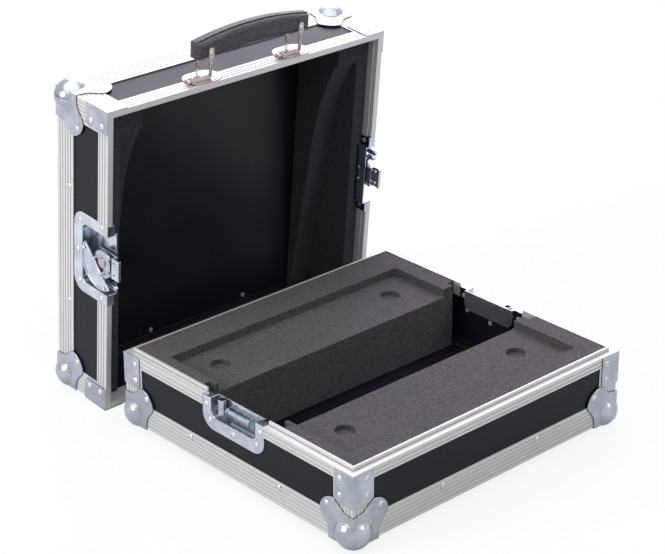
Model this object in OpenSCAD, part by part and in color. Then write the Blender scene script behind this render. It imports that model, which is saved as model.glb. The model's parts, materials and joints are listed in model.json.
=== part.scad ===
// Flight case for a sampling pad: a tray with shaped foam and a lift-off lid that stands behind it.
// Origin: middle of the whole outline, on the floor. X runs along the front wall, Y from the tray
// to the lid, Z up. Each half is drawn in its own frame, outer panel down and parting line up.

/* [Case] */
// Width over the edge profiles
case_w = 420; // [400:1:460]
// Depth from the front wall to the back wall
case_d = 387; // [370:1:420]
// Height of the tray, from its outer panel to the parting line
base_h = 88; // [84:1:105]
// Height of the lid, from its outer panel to the parting line
lid_h = 95; // [92:1:115]
// Free space between the tray and the lid that stands behind it
lid_gap = 44; // [20:1:80]

/* [Panels and profiles] */
// Thickness of the plywood panels
ply_t = 7; // [6:0.5:8]
// Wall thickness of the aluminium profiles
profile_t = 1.4; // [1.2:0.1:1.8]
// Leg of the angle profiles on the outer edges
edge_leg = 30; // [27:1:32]
// Leg of the inner flange of the edge profiles
inner_leg = 9; // [6:0.5:12]
// Depth of the grooves along the profiles
groove_depth = 0.4; // [0.2:0.1:0.6]
// Width of each groove
groove_w = 1.6; // [0.8:0.1:2]
// Distance between two grooves
groove_pitch = 5; // [4:0.5:5.5]

/* [Rim profiles] */
// Height of both flanges of the tray rim
base_flange = 13.5; // [10:0.5:16]
// Height of the outer flange of the lid rim on the left and right walls
lid_flange_side = 18; // [14:0.5:20]
// Height of the outer flange of the lid rim on the handle wall and the foot wall
lid_flange_long = 21; // [16:0.5:24]
// Height of the inner flange of the lid rim
lid_flange_inner = 18; // [12:0.5:22]
// Rise of the tongue above the parting line
tongue_h = 4.5; // [3:0.5:6]
// Thickness of the tongue
tongue_t = 2.3; // [1.8:0.1:2.8]
// Play between the tongue and the side of the groove
tongue_side_play = 0.2; // [0.1:0.1:0.5]
// Play between the top of the tongue and the bottom of the groove
tongue_top_play = 0.5; // [0.3:0.1:1]

/* [Corners] */
// Radius of the ball on each corner
ball_r = 20.2; // [19:0.1:21]
// Distance of the centre of the ball from each of the three walls
ball_inset = 11.5; // [11:0.1:12]
// Thickness of the pressed steel of the ball corners
ball_t = 1.4; // [1.2:0.1:1.8]
// Half width of a petal where it leaves the edge
petal_neck = 36.5; // [34:0.5:38]
// Centre of the round outer border of a petal, from both edges
petal_arc_c = 28; // [27:0.5:29]
// Radius of the round outer border of a petal
petal_arc_r = 22.5; // [21.5:0.5:23.5]
// Distance of the rivet of a petal from both edges
petal_rivet = 39.5; // [36:0.5:41]
// Thickness of the braces at the parting line
brace_t = 1.2; // [1:0.1:1.6]
// Width of a brace on each wall
brace_w = 27; // [24:1:30]
// Length of a brace from the parting line down
brace_len = 40; // [36:1:44]
// Distance of the rivets of a brace from the corner
brace_rivet_in = 19.5; // [16:0.5:21]
// Distance of the first rivet of a brace from the parting line
brace_rivet_first = 10.4; // [8:0.1:12]
// Distance of the second rivet of a brace from the parting line
brace_rivet_second = 30.7; // [28:0.1:33]

/* [Rivets] */
// Radius of a rivet head
rivet_head_r = 4; // [3.5:0.1:4.5]
// Height of a rivet head
rivet_head_h = 1.6; // [1.2:0.1:2]
// Radius of a rivet shank
rivet_shank_r = 2; // [1.6:0.1:2.4]
// Radius of the tail that closes a rivet inside
rivet_tail_r = 3; // [2.6:0.1:3.4]
// Height of the tail
rivet_tail_h = 1; // [0.6:0.1:1.2]
// Radius of the recess in the middle of a rivet head
rivet_eye_r = 1.2; // [0.8:0.1:1.4]
// Distance of the edge rivets from the outer corner of the profile
edge_rivet_in = 22.5; // [20:0.5:24]
// Distance of the edge rivets from the middle of the wall
edge_rivet_x = 75.5; // [70:0.5:90]

/* [Tray foam] */
// Distance of the foam from the profiles
foam_play = 0.3; // [0.3:0.1:1]
// Height of the foam above the parting line
foam_rise = 4; // [0:0.5:4.4]
// Width of the pocket for the pad, left to right
pocket_w = 358; // [330:1:362]
// Length of the pocket, front to back
pocket_l = 298; // [280:1:310]
// Depth of the pocket
pocket_depth = 11; // [8:0.5:16]
// Distance of the pocket from the left wall profile, so it sits left of the middle
pocket_left = 15.5; // [12:0.5:18]
// Distance of the pocket from the front wall profile
pocket_front = 25; // [20:0.5:30]
// Radius of the upright corners of the pocket
pocket_corner_r = 3; // [1:0.5:10]
// Radius of the four recesses for the feet of the pad
foot_r = 12; // [9:0.5:14]
// Depth of the foot recesses below the pocket floor
foot_depth = 6; // [3:0.5:10]
// Distance between the foot recesses, left to right
foot_pitch_x = 271; // [250:1:280]
// Distance between the foot recesses, front to back
foot_pitch_y = 210.8; // [200:0.2:220]
// Shift of the foot recesses from the middle of the pocket to the back
foot_shift_y = 7.7; // [0:0.1:15]
// Front end of the channel for the leads, measured from the middle
channel_front = -63.5; // [-70:0.5:-55]
// Back end of the channel for the leads, measured from the middle
channel_back = 53.2; // [50:0.2:65]
// Side of the square notch in the foam at each end of the channel
channel_notch = 10; // [6:0.5:14]

/* [Lid foam] */
// Thickness of the foam blocks on the left and right walls of the lid
jaw_w = 50; // [40:1:54]
// Distance of the nose of a block from the parting line
jaw_nose_q = 14; // [10:0.5:20]
// Height of the flat nose, measured from the handle end
jaw_nose_len = 32; // [24:1:40]
// Distance of the hollow face of a block from the parting line
jaw_hollow_q = 53; // [52:0.5:60]
// Radius of the sweep from the hollow face to the nose
jaw_sweep_r = 240; // [220:5:260]
// Start of the sweep, measured from the middle of the lid to the handle
jaw_sweep_y = 21.5; // [15:0.5:30]
// Length of the notched foot of a block
jaw_foot_len = 22; // [10:1:30]
// Depth of the notch of the foot
jaw_foot_depth = 16; // [6:1:22]

/* [Latch and catch dishes] */
// Half length of the dish flange along the wall
dish_half = 52; // [48:0.5:56]
// Height of the flange of the latch dish
latch_dish_h = 63.4; // [60:0.2:64.6]
// Height of the flange of the catch dish
catch_dish_h = 39.2; // [37:0.2:48]
// Radius of the outer corners of the dish flanges
dish_corner_r = 18; // [12:0.5:20]
// Sheet thickness of the dishes
dish_t = 1.3; // [1:0.1:1.4]
// Half width of the recess along the wall
bowl_half = 38; // [36:0.5:39.5]
// Height of the recess of the latch dish
latch_bowl_h = 47.5; // [46.5:0.5:49]
// Height of the recess of the catch dish
catch_bowl_h = 23.4; // [23:0.2:26]
// Depth of both recesses, from the outer face of the wall
bowl_depth = 13; // [12.8:0.1:13.6]
// Distance of the lower rivets of a dish below its recess
dish_rivet_drop = 3.4; // [3:0.1:4]
// Step from these rivets to the one in the middle
dish_rivet_step = 4; // [0:0.5:5]
// Radius of the upright corners of both recesses
bowl_corner_r = 8; // [4:0.5:12]

/* [Latch] */
// Distance of the turning centre from the parting line
rotor_q = 12.8; // [12.4:0.1:13.6]
// Radius of the rotor disc
rotor_r = 15; // [13:0.5:15]
// Thickness of the rotor disc
rotor_t = 3; // [2.4:0.1:3.2]
// Depth of the outer face of the rotor disc
rotor_depth = 2.4; // [2.2:0.1:2.6]
// Radius of the eccentric cam behind the disc
cam_r = 7.5; // [7.2:0.1:7.8]
// Offset of the cam from the turning centre
cam_offset = 2.75; // [2.5:0.05:2.8]
// Radius of the pivot post
post_r = 3.5; // [3:0.1:3.6]
// Running clearance of the rotor on the post and of the wing on its pin
running_fit = 0.05; // [0.02:0.01:0.1]
// Radius of the head of the pivot post
post_head_r = 6; // [5:0.1:6.4]
// Half width of the foot plate of the pivot post
post_foot_half = 11; // [9:0.5:12]
// Distance of the rivets of the foot plate from the turning centre
post_rivet_x = 8; // [7:0.5:8.5]
// Radius of the rivets of the foot plate
post_rivet_r = 1.5; // [1.2:0.1:1.8]
// Angle by which the rotor is turned from its locked position
rotor_turn = 45; // [0:5:180]
// Radius of the half-moon wing
wing_r = 33.5; // [31:0.5:34]
// Thickness of the wing
wing_t = 1.6; // [1.2:0.1:1.8]
// Depth of the middle plane of the wing, negative as it stands proud of the wall
wing_depth = -0.2; // [-0.4:0.1:0]
// Distance of the fold line of the wing from the turning centre
wing_fold = 9; // [8.6:0.1:9.4]
// Radius of the pin along the fold line
wing_pin_r = 1.2; // [1:0.05:1.3]
// Half width of the knuckle of the wing
wing_knuckle_half = 8.4; // [7:0.1:8.6]
// Width of each ear of the rotor
ear_w = 3; // [2.4:0.1:3.2]
// Width of the turned-up border of the wing
wing_border_w = 1.6; // [1:0.1:2]
// Height of the turned-up border of the wing
wing_border_h = 0.8; // [0.5:0.1:1]
// Half width of the hook plate
hook_half = 13; // [12.6:0.1:14]
// Thickness of the hook plate
hook_t = 1.6; // [1.4:0.1:1.7]
// Depth of the outer part of the hook, locked
hook_depth = 3.2; // [3.1:0.1:3.3]
// Depth of the inner part of the hook, locked
hook_inner_depth = 9.5; // [9.3:0.1:9.7]
// Reach of the inner face of the lip below the parting line, locked
hook_reach = 14.8; // [14.6:0.1:15.2]
// Depth of the tip of the lip, locked
hook_lip_depth = 6.9; // [6.7:0.1:7]
// Outward travel of the hook over half a turn of the rotor
hook_swing = 2.2; // [2.1:0.1:2.3]
// Clearance of the cam in the hook window, which stands in for the sliding pivot
window_play = 0.7; // [0.6:0.05:0.8]

/* [Keeper and alignment] */
// Radius of the keeper bar
keeper_bar_r = 3; // [2.6:0.1:3.1]
// Depth of the axis of the keeper bar
keeper_depth = 8; // [7.9:0.1:8.2]
// Play between the keeper bar and the lip of the locked hook
keeper_play = 0.3; // [0.2:0.1:0.5]
// End of the keeper away from the alignment sleeve
keeper_end_far = 17; // [15.5:0.5:20]
// End of the keeper beside the alignment sleeve
keeper_end_near = 21.5; // [19:0.5:21.5]
// Thickness of the keeper bracket
keeper_t = 1.4; // [1.2:0.1:1.8]
// Distance of the alignment peg and its sleeve from the middle of the latch
align_x = 27; // [26.8:0.1:29]
// Depth of the axis of the peg and its sleeve
align_depth = 8; // [7.9:0.1:8.2]
// Outer radius of the rolled sleeve
sleeve_r = 5; // [4.8:0.1:5]
// Length of the sleeve
sleeve_len = 18; // [12:0.5:20]
// Radius of the alignment peg
peg_r = 3.2; // [2.8:0.1:3.4]
// Play of the peg in the sleeve
peg_play = 0.4; // [0.3:0.1:0.8]
// Length of the peg past the parting line
peg_reach = 10; // [6:0.5:14]
// Length of the peg holder inside the recess
peg_holder = 14; // [10:0.5:18]

/* [Handle] */
// Distance of the middle of the handle from the middle of the wall
handle_shift = 5.5; // [0:0.5:10]
// Distance between the two handle plates
plate_pitch = 137; // [130:1:145]
// Length of a handle plate
plate_len = 49; // [46:1:54]
// Width of a handle plate
plate_w = 33; // [30:1:36]
// Distance of the plates from the parting line
plate_q = 17.6; // [17:0.1:19]
// Thickness of a handle plate
plate_t = 1; // [0.8:0.1:1.4]
// Height of the raised middle of a plate
plate_rise = 0.6; // [0.4:0.1:0.8]
// Radius of the wire of the bails
wire_r = 2; // [1.8:0.1:2.2]
// Running clearance of the wire in the barrel
wire_fit = 0.08; // [0.03:0.01:0.1]
// Wall of the barrel on each plate
barrel_wall = 1.1; // [0.9:0.1:1.3]
// Distance of the barrel from the parting line
barrel_q = 8.5; // [8:0.1:9.5]
// Length of the barrel
barrel_len = 25; // [20:0.5:26]
// Distance of the upright legs of a bail from the middle of its plate
bail_x = 4; // [3:0.5:6]
// Length of the handle grip
grip_len = 170; // [160:1:185]
// Width of the handle grip
grip_w = 22; // [20:0.5:25]
// Distance of the middle of the grip from the parting line
grip_q = 18; // [17:0.5:20]
// Height of the underside of the grip above the wall, at its ends
grip_under = 27; // [26:0.5:34]
// Rise of the underside to its middle
grip_under_rise = 4; // [2:0.5:6]
// Thickness of the grip at its ends
grip_t = 20; // [18:0.5:24]
// Rise of the top of the grip to its middle
grip_rise = 9; // [6:0.5:12]
// Width of the ridge along the grip
ridge_w = 7; // [5:0.5:8]
// Height of the ridge above the shoulders of the grip
ridge_h = 1.2; // [0.6:0.1:2]
// Width of the flattened eye of a bail
eye_w = 7.5; // [6:0.5:9]
// Height of the flattened eye of a bail
eye_h = 14; // [10:0.5:14]
// Thickness of the flattened eye of a bail
eye_t = 1.6; // [1.2:0.1:2]
// Height of the grip pins above the underside of the grip
pin_rise = 7; // [6:0.5:9]
// Radius of the grip pins
pin_r = 2; // [1.6:0.1:2.4]

/* [Hidden] */
$fn = 48;
// Small overrun of a cut past the face that it opens
over = 1;
// Walls of a half, counted as quarter turns from the front wall
FRONT = 0;
RIGHT = 1;
BACK = 2;
LEFT = 3;
wall_t = ply_t + 2 * profile_t;
ply_in = wall_t - profile_t;
groove_h = tongue_h + tongue_top_play;
groove_side = wall_t - tongue_t - tongue_side_play;
lid_top = lid_h - groove_h - profile_t;
ball_out = ball_r - ball_inset;
// Radial clearance of a shank in its hole
shank_gap = 0.02;
// Swelling of the wire at a bend
bend_bulge = 0.08;
// The lid leans forward until the lower edge of its braces and its two lower balls all touch the floor
lean_reach = lid_h - ball_inset;
lean_drop = ball_inset + brace_t;
lid_lean = asin(ball_r / norm([lean_reach, lean_drop])) - atan2(lean_drop, lean_reach);
// Middle of the outline from the front balls of the tray to the lower balls of the lid
back_reach = case_d / 2 + lid_gap + cos(lid_lean) * lean_reach - sin(lid_lean) * ball_inset + ball_r;
mid_y = (back_reach - case_d / 2 - ball_out) / 2;
// Places along the depth of a wall and along its height that several pieces share
dish_face = profile_t - dish_t;
bowl_back = bowl_depth + dish_t;
dish_cut = dish_half + 0.2;
hook_travel = 2 * cam_offset;
hook_rest = rotor_turn / 180;
rotor_back = rotor_depth + rotor_t;
cam_back = hook_inner_depth + hook_t + 0.3;
foot_face = cam_back + 0.4;
keeper_q = hook_reach - keeper_play - keeper_bar_r;
foam_x = case_w / 2 - wall_t - foam_play;
foam_y = case_d / 2 - wall_t - foam_play;
pocket_x0 = -case_w / 2 + wall_t + pocket_left;
pocket_y0 = -case_d / 2 + wall_t + pocket_front;
barrel_r = wire_r + barrel_wall;
barrel_out = plate_t + barrel_r;
bail_run_q = barrel_q + barrel_r + wire_r + 0.5;
eye_front_q = grip_q - grip_w / 2 - eye_t / 2;
eye_back_q = grip_q + grip_w / 2 + eye_t / 2;
pin_out = grip_under + pin_rise;
grip_x = handle_shift + bail_x;
foot_mid_x = pocket_x0 + pocket_w / 2;
foot_mid_y = pocket_y0 + pocket_l / 2 + foot_shift_y;

function wall_len(k) = k % 2 == 0 ? case_w : case_d;
function wall_off(k) = (k % 2 == 0 ? case_d : case_w) / 2;
function chord_r(chord, rise) = (chord * chord / 4 + rise * rise) / (2 * rise);

// Frames

module in_base() translate([0, -mid_y, ball_out]) children();

module in_lid() {
  translate([0, case_d / 2 + lid_gap - mid_y, cos(lid_lean) * brace_t])
    rotate([lid_lean, 0, 0])
      translate([0, lid_h, case_d / 2])
        rotate([90, 0, 0])
          children();
}

// Along one wall of a half: x along the wall, y inward from its outer face, z up to the parting line
module on_wall(k) rotate([0, 0, 90 * k]) translate([0, -wall_off(k), 0]) children();

// At the four upright corners: the corner is at the origin, the case lies towards -x, -y and +z
module at_corners() {
  for (mx = [0, 1], my = [0, 1])
    mirror([mx, 0, 0]) mirror([0, my, 0]) translate([case_w / 2, case_d / 2, 0]) children();
}

// On the outer panel, the x wall and the y wall of a corner, with the local z axis pointing out
module on_corner_faces() {
  rotate([180, 0, 0]) mirror([1, 0, 0]) children();
  rotate([0, 90, 0]) mirror([1, 1, 0]) children();
  rotate([90, 0, 180]) children();
}

// Outward from a wall, at a place along it and a height, with the local z axis pointing out
module out_of_wall(x, depth, z) translate([x, depth, z]) rotate([90, 0, 0]) children();

// Rivets

module rivet_shape(grip, tail) {
  head_sphere = chord_r(2 * rivet_head_r, rivet_head_h);
  difference() {
    union() {
      intersection() {
        translate([0, 0, rivet_head_h - head_sphere]) sphere(head_sphere);
        cylinder(h = rivet_head_h + over, r = rivet_head_r);
      }
      translate([0, 0, -grip]) cylinder(h = grip + rivet_head_h / 2, r = rivet_shank_r);
      if (tail) translate([0, 0, -grip - rivet_tail_h]) cylinder(h = rivet_tail_h, r = rivet_tail_r);
    }
    translate([0, 0, rivet_head_h / 2]) cylinder(h = rivet_head_h, r = rivet_eye_r);
  }
}

module rivet_hole() translate([0, 0, -wall_t * 2]) cylinder(h = wall_t * 3, r = rivet_shank_r + shank_gap);

module at_ball_rivets() {
  at_corners() {
    translate([-petal_rivet, -petal_rivet, -ball_t]) rotate([180, 0, 0]) children();
    translate([ball_t, -petal_rivet, petal_rivet]) rotate([0, 90, 0]) children();
    translate([-petal_rivet, ball_t, petal_rivet]) rotate([-90, 0, 0]) children();
  }
}

module at_brace_rivets(h) {
  at_corners()
    for (drop = [brace_rivet_first, brace_rivet_second]) {
      translate([brace_t, -brace_rivet_in, h - drop]) rotate([0, 90, 0]) children();
      translate([-brace_rivet_in, brace_t, h - drop]) rotate([-90, 0, 0]) children();
    }
}

module at_edge_rivets() {
  for (k = [FRONT : LEFT], side = [-1, 1])
    on_wall(k) {
      out_of_wall(side * edge_rivet_x, 0, edge_rivet_in) children();
      translate([side * edge_rivet_x, edge_rivet_in, 0]) rotate([180, 0, 0]) children();
    }
}

// Two beside the recess near the parting line, two at the far corners and one below its middle
module at_dish_rivets(h, bowl_h) {
  below = bowl_h + dish_t + dish_rivet_drop;
  for (k = [RIGHT, LEFT])
    on_wall(k) {
      for (side = [-1, 1]) {
        out_of_wall(side * (dish_half + bowl_half + dish_t) / 2, dish_face, h - brace_rivet_first) children();
        out_of_wall(side * (bowl_half + dish_t), dish_face, h - below) children();
      }
      out_of_wall(0, dish_face, h - below - dish_rivet_step) children();
    }
}

module half_rivets(h, bowl_h) {
  at_ball_rivets() rivet_shape(ply_in + ball_t, false);
  at_brace_rivets(h) rivet_shape(ply_in + brace_t, false);
  at_edge_rivets() rivet_shape(ply_in, true);
  at_dish_rivets(h, bowl_h) rivet_shape(ply_in - dish_face, true);
}

// Profiles

module grooves(leg) {
  for (g = [groove_pitch : groove_pitch : leg - groove_w])
    translate([-over, g - groove_w / 2]) square([groove_depth + over, groove_w]);
}

module angle_section() {
  difference() {
    union() {
      square([edge_leg, profile_t]);
      square([profile_t, edge_leg]);
      translate([ply_in - profile_t, 0]) square([profile_t, wall_t]);
      translate([ply_in, ply_in]) square([inner_leg, profile_t]);
      translate([ply_in, ply_in]) square([profile_t, inner_leg]);
    }
    grooves(edge_leg);
    mirror([1, -1]) grooves(edge_leg);
  }
}

module tongue_section() {
  difference() {
    polygon([
      [0, -base_flange], [profile_t, -base_flange], [profile_t, -profile_t], [ply_in, -profile_t],
      [ply_in, -base_flange], [wall_t, -base_flange], [wall_t, tongue_h], [wall_t - tongue_t, tongue_h],
      [wall_t - tongue_t, 0], [0, 0]
    ]);
    mirror([0, 1]) grooves(base_flange);
  }
}

module groove_section(flange) {
  difference() {
    polygon([
      [0, -flange], [profile_t, -flange], [profile_t, -profile_t], [groove_side - profile_t, -profile_t],
      [groove_side - profile_t, -groove_h - profile_t], [ply_in, -groove_h - profile_t],
      [ply_in, -lid_flange_inner], [wall_t, -lid_flange_inner], [wall_t, -groove_h],
      [groove_side, -groove_h], [groove_side, 0], [0, 0]
    ]);
    mirror([0, 1]) grooves(flange);
  }
}

// Run a section along a wall and mitre both ends; section x goes inward and section y goes up
module mitred_run(k, z) {
  len = wall_len(k);
  reach = edge_leg + over;
  on_wall(k)
    intersection() {
      translate([-len / 2, 0, z]) rotate([90, 0, 90]) linear_extrude(len) children();
      translate([0, 0, -over])
        linear_extrude(base_h + lid_h)
          polygon([[-len / 2, 0], [len / 2, 0], [len / 2 - reach, reach], [reach - len / 2, reach]]);
    }
}

module dish_gap(k) on_wall(k) translate([-dish_cut, -over, 0]) cube([2 * dish_cut, wall_t + 2 * over, 2 * lid_h]);

module edge(k) {
  difference() {
    mitred_run(k, 0) angle_section();
    at_ball_rivets() rivet_hole();
    at_edge_rivets() rivet_hole();
  }
}

module base_rim(k) {
  difference() {
    mitred_run(k, base_h) tongue_section();
    at_brace_rivets(base_h) rivet_hole();
    if (k % 2 == 1) dish_gap(k);
  }
}

module lid_rim(k) {
  difference() {
    mitred_run(k, lid_h) groove_section(k % 2 == 1 ? lid_flange_side : lid_flange_long);
    at_brace_rivets(lid_h) rivet_hole();
    if (k % 2 == 1) dish_gap(k);
  }
}

module angle_leg(len) {
  difference() {
    cube([profile_t, edge_leg, len]);
    translate([0, 0, -over]) linear_extrude(len + 2 * over) grooves(edge_leg);
  }
}

module corner_angles(h, flange_x, flange_y) {
  difference() {
    at_corners()
      translate([0, 0, edge_leg]) {
        mirror([1, 0, 0]) mirror([0, 1, 0]) angle_leg(h - flange_x - edge_leg);
        mirror([1, 0, 0]) mirror([0, 1, 0]) mirror([1, -1, 0]) angle_leg(h - flange_y - edge_leg);
      }
    at_corners()
      translate([0, 0, h - flange_y])
        linear_extrude(flange_y)
          polygon([[over, over], [-profile_t - over, over], [-profile_t - over, -profile_t - over]]);
    at_ball_rivets() rivet_hole();
    at_brace_rivets(h) rivet_hole();
  }
}

// Ball corners and braces

// Outline of one petal from the corner of the case, alike about its diagonal
module petal_outline() {
  far = petal_arc_c + petal_arc_r;
  flare = [
    [petal_neck + 0.3, 6], [petal_neck + 1.8, 14], [petal_neck + 8, 22],
    [petal_neck + 12.3, petal_arc_c - 0.7], [far - 0.2, petal_arc_c + 3]
  ];
  intersection() {
    polygon(concat(
      [[-ball_t, -ball_t], [petal_neck, -ball_t], [petal_neck, 0]], flare, [[far, far]],
      [for (i = [len(flare) - 1 : -1 : 0]) [flare[i][1], flare[i][0]]],
      [[0, petal_neck], [-ball_t, petal_neck]]
    ));
    union() {
      translate([petal_arc_c, petal_arc_c]) circle(petal_arc_r);
      translate([-ball_t, -ball_t]) square(petal_neck + ball_t + 1.5);
    }
  }
}

module ball_corner() {
  inside = ball_r * 4;
  difference() {
    union() {
      translate([-ball_inset, -ball_inset, ball_inset]) sphere(ball_r);
      on_corner_faces() linear_extrude(ball_t) petal_outline();
    }
    translate([-ball_inset, -ball_inset, ball_inset]) sphere(ball_r - ball_t);
    translate([-inside, -inside, 0]) cube(inside);
  }
}

module ball_corners() {
  difference() {
    at_corners() ball_corner();
    at_ball_rivets() rivet_hole();
  }
}

module brace_leaf() {
  round_r = brace_w / 5;
  translate([-brace_t, round_r]) square([brace_w + brace_t, brace_len - round_r]);
  translate([-brace_t, 0]) square([brace_w + brace_t - round_r, brace_len]);
  translate([brace_w - round_r, round_r]) circle(round_r);
}

module corner_braces(h) {
  difference() {
    at_corners()
      translate([0, 0, h - brace_len]) {
        mirror([0, 1, 0]) rotate([90, 0, 90]) linear_extrude(brace_t) brace_leaf();
        mirror([1, 0, 0]) translate([0, brace_t, 0]) rotate([90, 0, 0]) linear_extrude(brace_t) brace_leaf();
      }
    at_brace_rivets(h) rivet_hole();
  }
}

// Panels

module panel_cuts() {
  difference() {
    children();
    at_ball_rivets() rivet_hole();
    at_edge_rivets() rivet_hole();
  }
}

// A wall panel between the edge profile and the rim profile
module wall_panel(k, top) {
  len = wall_len(k) - 2 * (k % 2 == 0 ? profile_t : ply_in);
  on_wall(k) translate([-len / 2, profile_t, wall_t]) cube([len, ply_t, top - wall_t]);
}

// Opening of a wall for the recess of a dish
module bowl_opening(h, bowl_h) {
  half = bowl_half + dish_t;
  translate([-half, -over, h - bowl_h - dish_t]) cube([2 * half, wall_t + 2 * over, bowl_h + dish_t + over]);
}

module side_panel(k, h, top, bowl_h) {
  panel_cuts()
    difference() {
      union() {
        wall_panel(k, top);
        on_wall(k) translate([-dish_half, profile_t, wall_t]) cube([2 * dish_half, ply_t, h - profile_t - wall_t]);
      }
      on_wall(k) bowl_opening(h, bowl_h);
      at_brace_rivets(h) rivet_hole();
      at_dish_rivets(h, bowl_h) rivet_hole();
    }
}

module long_panel(k, h, top) {
  panel_cuts()
    difference() {
      wall_panel(k, top);
      at_brace_rivets(h) rivet_hole();
    }
}

module outer_panel() {
  panel_cuts()
    translate([ply_in - case_w / 2, ply_in - case_d / 2, profile_t])
      cube([case_w - 2 * ply_in, case_d - 2 * ply_in, ply_t]);
}

// Foam

module round_square(size, r) {
  translate([r, 0]) square([size[0] - 2 * r, size[1]]);
  translate([0, r]) square([size[0], size[1] - 2 * r]);
  for (x = [r, size[0] - r], y = [r, size[1] - r]) translate([x, y]) circle(r);
}

module tray_foam(y0, y1) {
  foam_top = base_h + foam_rise;
  difference() {
    translate([-foam_x, y0, wall_t]) cube([2 * foam_x, y1 - y0, foam_top - wall_t]);
    translate([pocket_x0, pocket_y0, foam_top - pocket_depth])
      linear_extrude(pocket_depth + over) round_square([pocket_w, pocket_l], pocket_corner_r);
    for (sx = [-1, 1], sy = [-1, 1])
      translate([foot_mid_x + sx * foot_pitch_x / 2, foot_mid_y + sy * foot_pitch_y / 2,
        foam_top - pocket_depth - foot_depth])
        cylinder(h = foot_depth + over, r = foot_r);
    for (side = [-1, 1])
      translate([side * foam_x - channel_notch, channel_front - channel_notch, wall_t - over])
        cube([2 * channel_notch, channel_back - channel_front + 2 * channel_notch, foam_top]);
  }
}

// Side outline of a block of the lid: x along the wall to the handle, y up to the parting line
module jaw_outline() {
  hollow = lid_h - jaw_hollow_q;
  nose = lid_h - jaw_nose_q;
  difference() {
    translate([-foam_y, wall_t]) square([2 * foam_y, nose - wall_t]);
    translate([-foam_y - over, hollow]) square([foam_y + over + jaw_sweep_y, lid_h]);
    intersection() {
      translate([jaw_sweep_y, hollow + jaw_sweep_r]) circle(jaw_sweep_r, $fn = 144);
      translate([jaw_sweep_y - over, hollow - over]) square([foam_y - jaw_nose_len - jaw_sweep_y + over, lid_h]);
    }
    translate([-foam_y - over, hollow - jaw_foot_depth]) square([jaw_foot_len + over, lid_h]);
  }
}

module lid_foam(side) {
  translate([side > 0 ? foam_x - jaw_w : -foam_x, 0, 0])
    rotate([90, 0, 90]) linear_extrude(jaw_w) jaw_outline();
}

// Dishes

module dish_flange(dish_h) {
  flange_r = dish_corner_r;
  translate([-dish_half, -dish_h + flange_r]) square([2 * dish_half, dish_h - flange_r]);
  translate([flange_r - dish_half, -dish_h]) square([2 * (dish_half - flange_r), dish_h]);
  for (side = [-1, 1]) translate([side * (dish_half - flange_r), flange_r - dish_h]) circle(flange_r);
}

module bowl_outline(half, bowl_h, r) {
  translate([-half, r - bowl_h]) square([2 * half, bowl_h - r + over]);
  translate([r - half, -bowl_h]) square([2 * (half - r), bowl_h]);
  for (side = [-1, 1]) translate([side * (half - r), r - bowl_h]) circle(r);
}

// A pressed dish: flange on the wall, recess through it and two tabs over the edge of the plywood
module dish(k, h, dish_h, bowl_h) {
  tab_in = bowl_half + dish_t;
  difference() {
    union() {
      on_wall(k)
        translate([0, 0, h]) {
          translate([0, profile_t, 0]) rotate([90, 0, 0]) linear_extrude(dish_t) dish_flange(dish_h);
          translate([0, bowl_back, 0])
            rotate([90, 0, 0])
              linear_extrude(bowl_back - dish_face)
                intersection() {
                  bowl_outline(tab_in, bowl_h + dish_t, bowl_corner_r + dish_t);
                  translate([-dish_half, -lid_h]) square([2 * dish_half, lid_h]);
                }
          for (side = [-1, 1])
            translate([side * (tab_in + dish_half) / 2 - (dish_half - tab_in) / 2, profile_t, -profile_t])
              cube([dish_half - tab_in, wall_t - profile_t, profile_t]);
        }
    }
    on_wall(k)
      translate([0, bowl_depth, h])
        rotate([90, 0, 0])
          linear_extrude(bowl_depth + over)
            bowl_outline(bowl_half, bowl_h, bowl_corner_r);
    at_dish_rivets(h, bowl_h) rivet_hole();
  }
}

module latch_dish(k) {
  difference() {
    dish(k, lid_h, latch_dish_h, latch_bowl_h);
    at_post_rivets(k) translate([0, 0, -over]) cylinder(h = 4 * dish_t, r = post_rivet_r + shank_gap);
  }
}

// Keeper, sleeve and peg

module keeper(k) {
  on_wall(k)
    translate([0, 0, base_h - keeper_q]) {
      tab_h = 2 * keeper_bar_r + 3;
      translate([-keeper_end_far, bowl_depth - keeper_t, -tab_h])
        cube([keeper_end_far + keeper_end_near, keeper_t, 1.5 * tab_h]);
      for (x = [-keeper_end_far, keeper_end_near - keeper_t])
        translate([x, keeper_depth, -tab_h / 2]) cube([keeper_t, bowl_depth - keeper_depth, tab_h]);
      for (x = [-keeper_end_far, keeper_end_near - keeper_t])
        translate([x, keeper_depth, 0]) rotate([0, 90, 0]) cylinder(h = keeper_t, r = tab_h / 2);
      translate([-keeper_end_far, keeper_depth, 0])
        rotate([0, 90, 0])
          cylinder(h = keeper_end_far + keeper_end_near, r = keeper_bar_r);
    }
}

module alignment_sleeve(k) {
  on_wall(k)
    translate([-align_x, align_depth, base_h - sleeve_len])
      difference() {
        cylinder(h = sleeve_len, r = sleeve_r);
        translate([0, 0, -over]) cylinder(h = sleeve_len + 2 * over, r = peg_r + peg_play);
      }
}

module alignment_peg(k) {
  tip = peg_r * 0.8;
  on_wall(k)
    translate([align_x, align_depth, lid_h]) {
      translate([0, 0, -peg_holder]) cylinder(h = peg_holder + peg_reach - tip, r = peg_r);
      translate([0, 0, peg_reach - tip]) cylinder(h = tip, r1 = peg_r, r2 = peg_r / 2);
      translate([-peg_r, 0, -peg_holder]) cube([2 * peg_r, bowl_depth - align_depth, peg_holder - over]);
    }
}

// Butterfly latch

// Frame of the rotor: turning centre at the origin, y inward, wing towards -z
module at_rotor(k) on_wall(k) translate([0, 0, lid_h - rotor_q]) rotate([0, -rotor_turn, 0]) children();

module along_in(depth, h, r) translate([0, depth, 0]) rotate([-90, 0, 0]) cylinder(h = h, r = r);

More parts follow.
